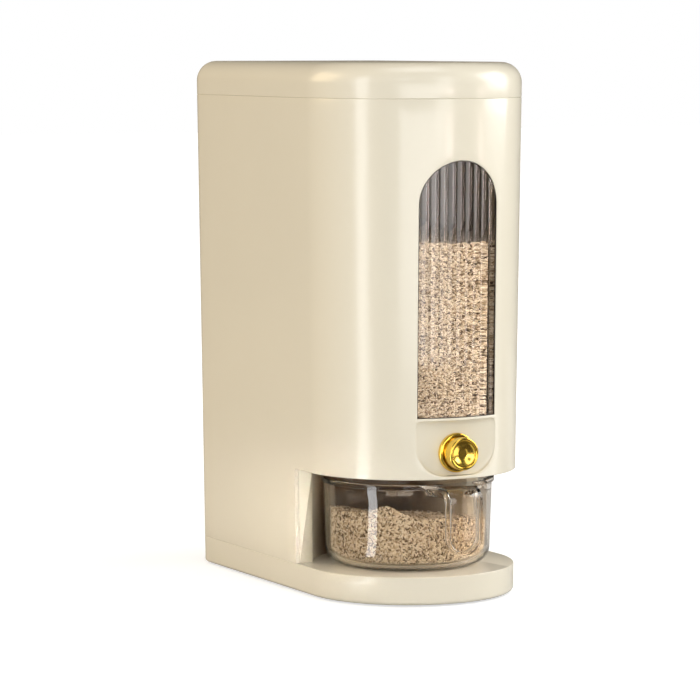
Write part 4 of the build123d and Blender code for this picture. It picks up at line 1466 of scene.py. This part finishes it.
@dataclass
class ReturnSpring:
    """Coil spring behind the button, as a smooth copy of the imported one; the share it would shorten to is
    worked out but not used.
    """

    joint: str = "button_press"

    def build(self) -> None:
        """Makes the spring and dresses it."""
        low, high = span("return_spring")
        stroke = next(item for item in frame["joints"] if item["name"] == self.joint)["range_m"][1] / MM
        length = high[1] - low[1]
        spring = refined("return_spring", "coil_spring", 50)
        seat(spring, Finish.STEEL, "housing", "steel", "return_spring")
        (length - stroke) / length
        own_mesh(spring)


@dataclass
class Rice:
    """Rice in the store and in the cup: a closed mass with loose grains over what shows of it."""

    form: BodyForm
    window: Window
    grower: Grower
    store_inset: float = 7.6
    store_level: float = 276.0
    store_rings: tuple[float, ...] = (12, 20, 30, 40, 50, 60, 70, 77)
    gate_level: float = 105.4
    throat_rise: float = 17.0
    throat_half: float = 25.5
    throat_depth: float = 5.4
    side_slope: float = 35.0
    rear_slope: float = 30.0
    front_slope: float = 3.1
    band: float = 29.0
    band_columns: int = 41
    window_density: float = 1050000.0
    window_length: float = 0.74
    top_density: float = 240000.0
    cup_density: float = 380000.0
    cup_level: float = 66.0
    heap_turn: tuple[float, float] = (0.884, 0.468)
    heap_fall: tuple[float, float] = (0.07, 0.12)
    peak_height: float = 6.5
    peak_place: tuple[float, float] = (-15.0, -60.0)
    peak_width: tuple[float, float] = (10.0, 45.0)
    bowl_rise: float = 2.5
    bowl_half: float = 63.0
    cup_rim: float = 1.8
    cup_wall: float = 3.0
    cup_floor: float = 3.6
    cup_taper: float = 2.0
    cup_corner: float = 10.0
    cup_middle: float = 20.0
    cup_rings: tuple[float, ...] = (54, 46, 38, 30, 22, 14, 6)
    grain_length: float = 3.2
    grain_thickness: float = 1.1
    grain_tilt: float = 0.26

    def heap(self, x: np.ndarray, y: np.ndarray) -> np.ndarray:
        """Level of the rice in the store."""
        return (self.store_level + 2.2 * np.sin(x / 21 + 0.6) * np.cos(y / 34) + 3.0 * np.sin(y / 47 + 1.2)
                + 1.1 * np.sin((x + y) / 11))

    def cup_heap(self, x: np.ndarray, y: np.ndarray) -> np.ndarray:
        """Level of the rice in the cup.

        Args:
            x: places across.
            y: places along.
        Returns:
            The levels.
        """
        straight, turned_off = self.heap_turn
        beside = straight * x - turned_off * (y - self.form.axis_y)
        behind = turned_off * x + straight * (y - self.form.axis_y)
        off = (beside - self.peak_place[0], behind - self.peak_place[1])
        peak = self.peak_height * np.exp(
            -(off[0] / self.peak_width[0]) ** 2 - (off[1] / self.peak_width[1]) ** 2)
        waves = 0.8 * np.sin(x / 4.1) * np.cos(y / 5.3) + 1.2 * np.sin((x + y) / 9)
        bowl = self.bowl_rise * (beside / self.bowl_half) ** 2
        return self.cup_level + bowl - self.heap_fall[0] * beside + peak + waves - self.heap_fall[1] * off[1]

    def store_rows(self, inset: float) -> list[np.ndarray]:
        """Rows of the store's rice from the gate up to the heap, held in by the sloping floors.

        Args:
            inset: how far inside the housing's outer face it stays.
        Returns:
            The rows.
        """
        throat = span("hopper")[0][2] + self.throat_rise
        rows = []
        levels = [self.gate_level, throat, *np.linspace(throat + 2, self.window.bottom + 1, 8),
                  *np.linspace(self.window.bottom + 6, self.store_level - 14, 14)]
        for level in levels:
            up = max(level - throat, 0.0)
            row = self.form.rail(level, inset)
            side = self.throat_half + up / math.tan(math.radians(self.side_slope))
            rear = self.form.axis_y + self.throat_depth + up / math.tan(math.radians(self.rear_slope))
            front = self.form.axis_y - self.throat_depth - up * self.front_slope
            row[:, 0] = np.clip(row[:, 0], -side, side)
            row[:, 1] = np.clip(row[:, 1], front, rear)
            rows.append(row)
        top = self.form.rail(self.store_level, inset)
        top[:, 2] = self.heap(top[:, 0], top[:, 1])
        return rows + [top]

    def crown(self, inset: float) -> list[np.ndarray]:
        """Rows of the heap from its rim inwards.

        Args:
            inset: where its rim is, inside the housing's outer face.
        Returns:
            The rows.
        """
        rows = []
        for step in (inset, *self.store_rings):
            row = self.form.rail(self.store_level, step)
            row[:, 2] = self.heap(row[:, 0], row[:, 1])
            rows.append(row)
        return rows

    def mass(self, name: str, rows: Sequence[np.ndarray]) -> bpy.types.Object:
        """Closed mass between the first row and the last, with the tone that marks it as bulk.

        Args:
            name: the piece's name.
            rows: its rows.
        Returns:
            The mass.
        """
        skin = Skin()
        numbers = skin.stack(list(rows))
        skin.cap(numbers[0])
        skin.cap(numbers[-1])
        thing = skin.piece(name, sharp=60)
        tone = thing.data.attributes.new(GRAIN_TONE, "FLOAT", "POINT")
        tone.data.foreach_set("value", np.full(len(thing.data.vertices), BULK_TONE, np.float32))
        return thing

    def strewn(self, name: str, rows: Sequence[np.ndarray], closed: bool, density: float, seed: int,
               shorter: float = 1.0) -> bpy.types.Object:
        """Grains over a surface that is then dropped.

        Args:
            name: the piece's name.
            rows: the surface's rows.
            closed: whether each row runs round to its start.
            density: grains on a square metre.
            seed: what the chances start from.
            shorter: the grains' length as a share of the usual one.
        Returns:
            The grains.
        """
        skin = Skin()
        skin.stack(list(rows), closed)
        return self.grower.grow(skin.piece(name, closed=False), {
            "Grains per square metre": density, "Grain length": self.grain_length * shorter * MM,
            "Grain thickness": self.grain_thickness * MM, "Tilt": self.grain_tilt, "Seed": seed,
            "Material": MATERIALS[Finish.RICE]})

    def build(self) -> None:
        """Makes the rice of the store and of the cup."""
        inset = self.store_inset
        angles = np.radians(np.linspace(-self.band, self.band, self.band_columns))
        band = [self.form.on_front(angles, level, inset - 0.5)
                for level in np.linspace(self.window.bottom - 1, self.store_level - 1, 20)]
        store = self.mass("rice_in_store", self.store_rows(inset) + self.crown(inset)[1:])
        seat(store, Finish.RICE, "housing", None)
        front = self.strewn("rice_at_window", band, False, self.window_density, 5, self.window_length)
        seat(front, Finish.RICE, "housing", None)
        crown = self.strewn("rice_on_top", self.crown(inset + 1.0), True, self.top_density, 9)
        seat(crown, Finish.RICE, "housing", None)
        self.build_cup()

    def cup_ring(self, size: float, level: float | None = None) -> np.ndarray:
        """Row round the cup's axis at a level, or on the heap where none is given.

        Args:
            size: its radius.
            level: its level, or None on the heap.
        Returns:
            Rows of (x, y, z).
        """
        turns = np.linspace(0, 2 * math.pi, 96, endpoint=False)
        x, y = size * np.cos(turns), self.form.axis_y + size * np.sin(turns)
        return np.stack([x, y, self.cup_heap(x, y) if level is None else np.full(len(turns), level)], 1)

    def cup_rows(self, gap: float) -> list[np.ndarray]:
        """Rows of the cup's rice from the floor up the wall and over the heap.

        Args:
            gap: how far inside the cup's wall it stays.
        Returns:
            The rows.
        """
        low, high = span("measuring_cup")
        radius, floor = high[0] - self.cup_rim - self.cup_wall, low[2] + self.cup_floor
        bend, lean = self.cup_corner, self.cup_taper / (high[2] - low[2])
        foot = radius - self.cup_taper - bend
        rows = [self.cup_ring(self.cup_middle, floor + gap), self.cup_ring(foot, floor + gap)]
        for turn in np.radians((20, 40, 60, 80)):
            rows.append(self.cup_ring(foot + (bend - gap) * math.sin(turn),
                                      floor + bend - (bend - gap) * math.cos(turn)))
        rows += [self.cup_ring(radius - gap - self.cup_taper + lean * (level - floor), level)
                 for level in np.linspace(floor + bend + 1, self.cup_level - 12, 6)]
        return rows + [self.cup_ring(radius - gap - 1.2)] + [self.cup_ring(size) for size in self.cup_rings]

    def build_cup(self) -> None:
        """Makes the rice in the cup."""
        seat(self.mass("rice_in_cup", self.cup_rows(2.3)), Finish.RICE, "cup", None)
        loose = self.strewn("rice_grains_in_cup", self.cup_rows(1.7), True, self.cup_density, 21)
        seat(loose, Finish.RICE, "cup", None)


@dataclass
class Cup:
    """Clear measuring cup with its moulded handle."""

    edge: float = 0.7
    crisp: float = 38.0

    def build(self) -> None:
        """Makes the cup and dresses it."""
        cup = refined("measuring_cup", "clear_cup", 40)
        soften(cup, self.edge, self.crisp)
        seat(cup, Finish.CUP, "cup", "cup_clear", "measuring_cup")


@dataclass
class Mouldings:
    """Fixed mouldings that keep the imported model's shape."""

    def build(self) -> None:
        """Smooths copies of them and dresses them."""
        seat(refined("base_tray", "base_moulding"), Finish.IVORY, "housing", "body_plastic", "base_tray")
        # the bay liner takes the alcove finish, with its painted shade at the back and on the roof
        seat(refined("bay_liner", "bay_moulding"), Finish.ALCOVE, "housing", "body_plastic", "bay_liner")


# Studio

@dataclass
class Studio:
    """Floor, soft lights, surroundings and camera."""

    azimuth: float = -27.855
    pitch: float = 5.503
    eye: tuple[float, float, float] = (-1228.9, -2323.7, 425.0)
    focal_px: float = 3343.0
    centre_px: tuple[float, float] = (370.9, 364.3)
    frame_px: float = 700.0
    ambient: float = 0.3
    ambient_tint: tuple[float, ...] = (1.0, 0.94, 0.85, 1)
    mirrored: float = 0.08
    mirrored_tint: tuple[float, ...] = (1.0, 0.9, 0.75, 1)
    inward: float = 5.7
    inward_tint: tuple[float, ...] = (1.0, 0.885, 0.83, 1)
    room: tuple[float, ...] = (0.16, 0.11, 0.07, 1)
    ahead: tuple[float, float] = (0.62, 0.9)
    axis_y: float = -59.0
    floor_reach: float = 12000.0

    def camera(self) -> None:
        """Sets the camera at the photograph's viewing angle."""
        data = bpy.data.cameras.new("camera")
        data.sensor_width = 36.0
        data.lens = self.focal_px / self.frame_px * data.sensor_width
        data.shift_x = (self.frame_px / 2 - self.centre_px[0]) / self.frame_px
        data.shift_y = (self.centre_px[1] - self.frame_px / 2) / self.frame_px
        data.clip_start, data.clip_end = 0.05, 60.0
        thing = bpy.data.objects.new("camera", data)
        thing.location = [value * MM for value in self.eye]
        thing.rotation_euler = (math.radians(90 - self.pitch), 0.0, math.radians(self.azimuth))
        bpy.context.scene.collection.objects.link(thing)
        bpy.context.scene.camera = thing

    def softbox(self, name: str, azimuth: float, height: float, distance: float, size: tuple[float, float],
                power: float, colour: Sequence[float] = (1, 1, 1), target: Sequence[float] = (0, 0, 0.2),
                spread: float = 180.0) -> None:
        """Hangs a soft light that faces the object.

        Args:
            name: the light's name.
            azimuth: degrees off the front, towards the right.
            height: metres above the floor.
            distance: metres from the axis.
            size: width and height in metres.
            power: watts.
            colour: its tint.
            target: the point that it faces.
            spread: the width of its beam in degrees.
        """
        data = bpy.data.lights.new(name, "AREA")
        data.spread = math.radians(spread)
        data.shape = "RECTANGLE"
        data.size, data.size_y = size
        data.energy = power
        data.color = colour
        thing = bpy.data.objects.new(name, data)
        turn = math.radians(azimuth)
        thing.location = (distance * math.sin(turn), -distance * math.cos(turn), height)
        aim = np.array(target) - np.array(thing.location)
        tip = math.atan2(math.hypot(aim[0], aim[1]), -aim[2])
        thing.rotation_euler = (tip, 0.0, math.atan2(-aim[0], aim[1]))
        bpy.context.scene.collection.objects.link(thing)

    def surroundings(self) -> None:
        """White to the camera and straight behind clear pieces, and dim in reflections.

        Light that has bounced off the rice and the inner walls meets a brighter level on its way out through
        the clear pieces, because the soft lights don't shine in through those.
        """
        world = bpy.data.worlds.new("surroundings")
        world.use_nodes = True
        bpy.context.scene.world = world
        tree = Tree(world.node_tree)

        def sky(colour: Any, strength: Any) -> bpy.types.NodeSocket:
            """One level of light."""
            return tree.node("ShaderNodeBackground", {}, {"Color": colour, "Strength": strength}).outputs[0]

        def chosen(by: Any, first: Any, second: Any) -> bpy.types.NodeSocket:
            """The first light, or the second where the switch is 1."""
            return tree.node("ShaderNodeMixShader", {}, {0: by, 1: first, 2: second}).outputs[0]

        path = tree.node("ShaderNodeLightPath")
        camera_ray = Value(tree, path.outputs["Is Camera Ray"])
        turn, dip = math.radians(-self.azimuth), math.radians(self.pitch)
        ahead = (math.sin(turn) * math.cos(dip), math.cos(turn) * math.cos(dip), -math.sin(dip))
        toward = tree.node("ShaderNodeTexCoord").outputs["Generated"]
        along = tree.node("ShaderNodeVectorMath", {"operation": "DOT_PRODUCT"}, {0: toward, 1: ahead})
        straight = Value(tree, along.outputs["Value"]).eased(*self.ahead).at_least(camera_ray)
        backdrop = tree.node("ShaderNodeMix", {"data_type": "RGBA"}, {
            0: straight, 6: self.room, 7: (1, 1, 1, 1)})
        sides = tree.node("ShaderNodeSeparateXYZ", {}, {0: toward})
        from_right = Value(tree, sides.outputs[0]).eased(-0.1, 0.5)
        inward = sky(self.inward_tint, self.inward * (0.35 + 1.2 * from_right))
        bounced = Value(tree, path.outputs["Diffuse Depth"]).above(0.5)
        through = chosen(bounced, sky(backdrop.outputs[2], 1.0), inward)
        plain, mirrored = sky(self.ambient_tint, self.ambient), sky(self.mirrored_tint, self.mirrored)
        outside = chosen(path.outputs["Is Glossy Ray"], plain, mirrored)
        seen = camera_ray.at_least(path.outputs["Is Transmission Ray"])
        tree.node("ShaderNodeOutputWorld", {}, {"Surface": chosen(seen, outside, through)})

    def floor(self) -> None:
        """Pale floor that keeps the object's soft shadow, and that shows nearly white to the camera."""
        skin = Skin()
        far = self.floor_reach
        skin.cap(skin.loop(np.array([(-far, -far, 0), (far, -far, 0), (far, far, 0), (-far, far, 0)])))
        thing = skin.piece("floor", closed=False)
        paint = Paint("floor_paper")
        path = paint.node("ShaderNodeLightPath")
        paper = paint.node("ShaderNodeBsdfDiffuse", {}, {
            "Color": paint.mixed(paint.noise(3, 2), (0.56, 0.56, 0.56, 1), (0.54, 0.54, 0.54, 1))})
        away = paint.node("ShaderNodeVectorMath", {"operation": "LENGTH"}, {0: paint.place()})
        fade = paint.node("ShaderNodeMapRange", {"interpolation_type": "SMOOTHSTEP"}, {
            "Value": away.outputs["Value"], "From Min": 0.3, "From Max": 1.6, "To Min": 0.66, "To Max": 1.0})
        lift = paint.node("ShaderNodeEmission", {}, {
            "Color": (1, 1, 1, 1),
            "Strength": Value(paint, path.outputs["Is Camera Ray"]) * Value(paint, fade.outputs[0])})
        both = paint.node("ShaderNodeAddShader", {}, {0: paper.outputs[0], 1: lift.outputs[0]})
        thing.data.materials.append(paint.end(both.outputs[0]))

    def strip(self, name: str, turns: np.ndarray, reach: Sequence[float], centre_y: float, level: float,
              material: bpy.types.Material) -> None:
        """Strip of floor that only shows in reflections.

        Args:
            name: the strip's name.
            turns: places round it in radians off the front, towards the right.
            reach: distances of its rows from the centre in millimetres.
            centre_y: Y of the centre.
            level: its height.
            material: what it is made of.
        """
        skin = Skin()
        skin.stack([np.stack([far * np.sin(turns), centre_y - far * np.cos(turns),
                              np.full(len(turns), level)], 1) for far in reach], closed=False)
        thing = skin.piece(name, closed=False)
        thing.data.materials.append(material)
        for kind in ("camera", "diffuse", "transmission", "shadow"):
            setattr(thing, f"visible_{kind}", False)

    def mat(self, name: str, sector: tuple[float, float], reach: Sequence[float]) -> None:
        """Dark mat on the floor in front of the object, which only shows in reflections.

        Args:
            name: the mat's name.
            sector: its first and last place off the front, in degrees.
            reach: distances of its rows from the origin in millimetres.
        """
        paint = Paint(name)
        cloth = paint.mixed(paint.noise(400, 2), (0.035, 0.025, 0.015, 1), (0.05, 0.035, 0.02, 1))
        material = paint.finish({"Base Color": cloth, "Roughness": 0.9})
        self.strip(name, np.radians(np.linspace(*sector, 32)), reach, 0.0, 1.0, material)

    def glint(self, name: str, azimuth: float, spread: float, reach: tuple[float, float], strength: float,
              colour: Sequence[float] = (1, 1, 1)) -> None:
        """Bright strip on the floor that carries a light's reflection down upright walls.

        Args:
            name: the strip's name.
            azimuth: degrees off the front, towards the right.
            spread: degrees across.
            reach: nearest and furthest distance from the axis in millimetres.
            strength: its brightness.
            colour: its tint.
        """
        paint = Paint(name)
        glow = paint.node("ShaderNodeEmission", {}, {
            "Color": (*colour, 1), "Strength": paint.noise(4, 1) * 0.2 + strength})
        turns = np.radians(np.linspace(azimuth - spread / 2, azimuth + spread / 2, 12))
        material = paint.end(glow.outputs[0])
        self.strip(name, turns, np.linspace(*reach, 6), self.axis_y, 3.0, material)

    def build(self) -> None:
        """Sets up the whole studio."""
        bpy.context.scene.view_settings.view_transform = "Standard"
        self.camera()
        self.surroundings()
        self.floor()
        self.mat("mat", (-60, 95), (230, 620, 1400, 2600, 5000, 8000))
        self.mat("near_mat", (-135, -60), (170, 400, 640))
        self.glint("cup_glint", azimuth=-73, spread=12, reach=(150, 640), strength=9)
        self.glint("left_glint", azimuth=-73, spread=12, reach=(640, 1700), strength=4.6)
        self.glint("front_glint", azimuth=8, spread=10, reach=(300, 1800), strength=0.7)
        self.glint("right_glint", azimuth=62, spread=30, reach=(250, 1650), strength=1.8)
        for name, azimuth, spread, strength in (("pane_glint", 14, 8, 14), ("pane_glint_right", 50, 5, 16)):
            self.glint(name, azimuth, spread, reach=(3350, 6400), strength=strength, colour=(1.0, 0.8, 0.76))
        self.softbox("key_right", azimuth=70, height=0.9, distance=1.7, size=(1.1, 1.3), power=23.5)
        self.softbox("front_panel", azimuth=8, height=0.8, distance=1.9, size=(0.5, 1.4), power=6.4)
        self.softbox("left_strip", azimuth=-73, height=0.55, distance=1.6, size=(0.36, 1.4), power=7.5,
                     colour=(0.96, 0.98, 1.0))
        self.softbox("left_fill", azimuth=-125, height=1.3, distance=2.2, size=(1.4, 1.4), power=21,
                     colour=(1.0, 0.76, 0.44))
        self.softbox("low_front", azimuth=-16, height=0.22, distance=1.3, size=(0.9, 0.36), power=3.6)
        self.softbox("alcove_fill", azimuth=-24, height=0.11, distance=1.1, size=(0.09, 0.05), power=0.02,
                     colour=(1.0, 0.95, 0.86), target=(-0.075, -0.03, 0.06), spread=7.0)
        self.softbox("button_spark", azimuth=-30, height=1.2, distance=1.8, size=(0.35, 0.35), power=1.6)
        self.softbox("top_panel", azimuth=0, height=1.9, distance=0.3, size=(0.9, 0.9), power=5.5)


def paint_nodes() -> None:
    """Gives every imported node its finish."""
    for name, node in frame["nodes"].items():
        paint_piece(node, NODE_FINISH[name])


def main() -> None:
    """Builds every piece in order."""
    logging.basicConfig(level=logging.INFO, format="%(message)s")
    Studio().build()
    paint_nodes()
    form = BodyForm.from_frame()
    window = Window.from_frame()
    button = Button.from_frame()
    Lid(form).build()
    Housing(form, window, Recess.below(window), button.axis_z, button.recess_y).build()
    WindowGlazing(form, window).build()
    button.build()
    ReturnSpring().build()
    Cup().build()
    Mouldings().build()
    Rice(form, window, Grains().tree()).build()


if __name__ == "__main__":
    main()
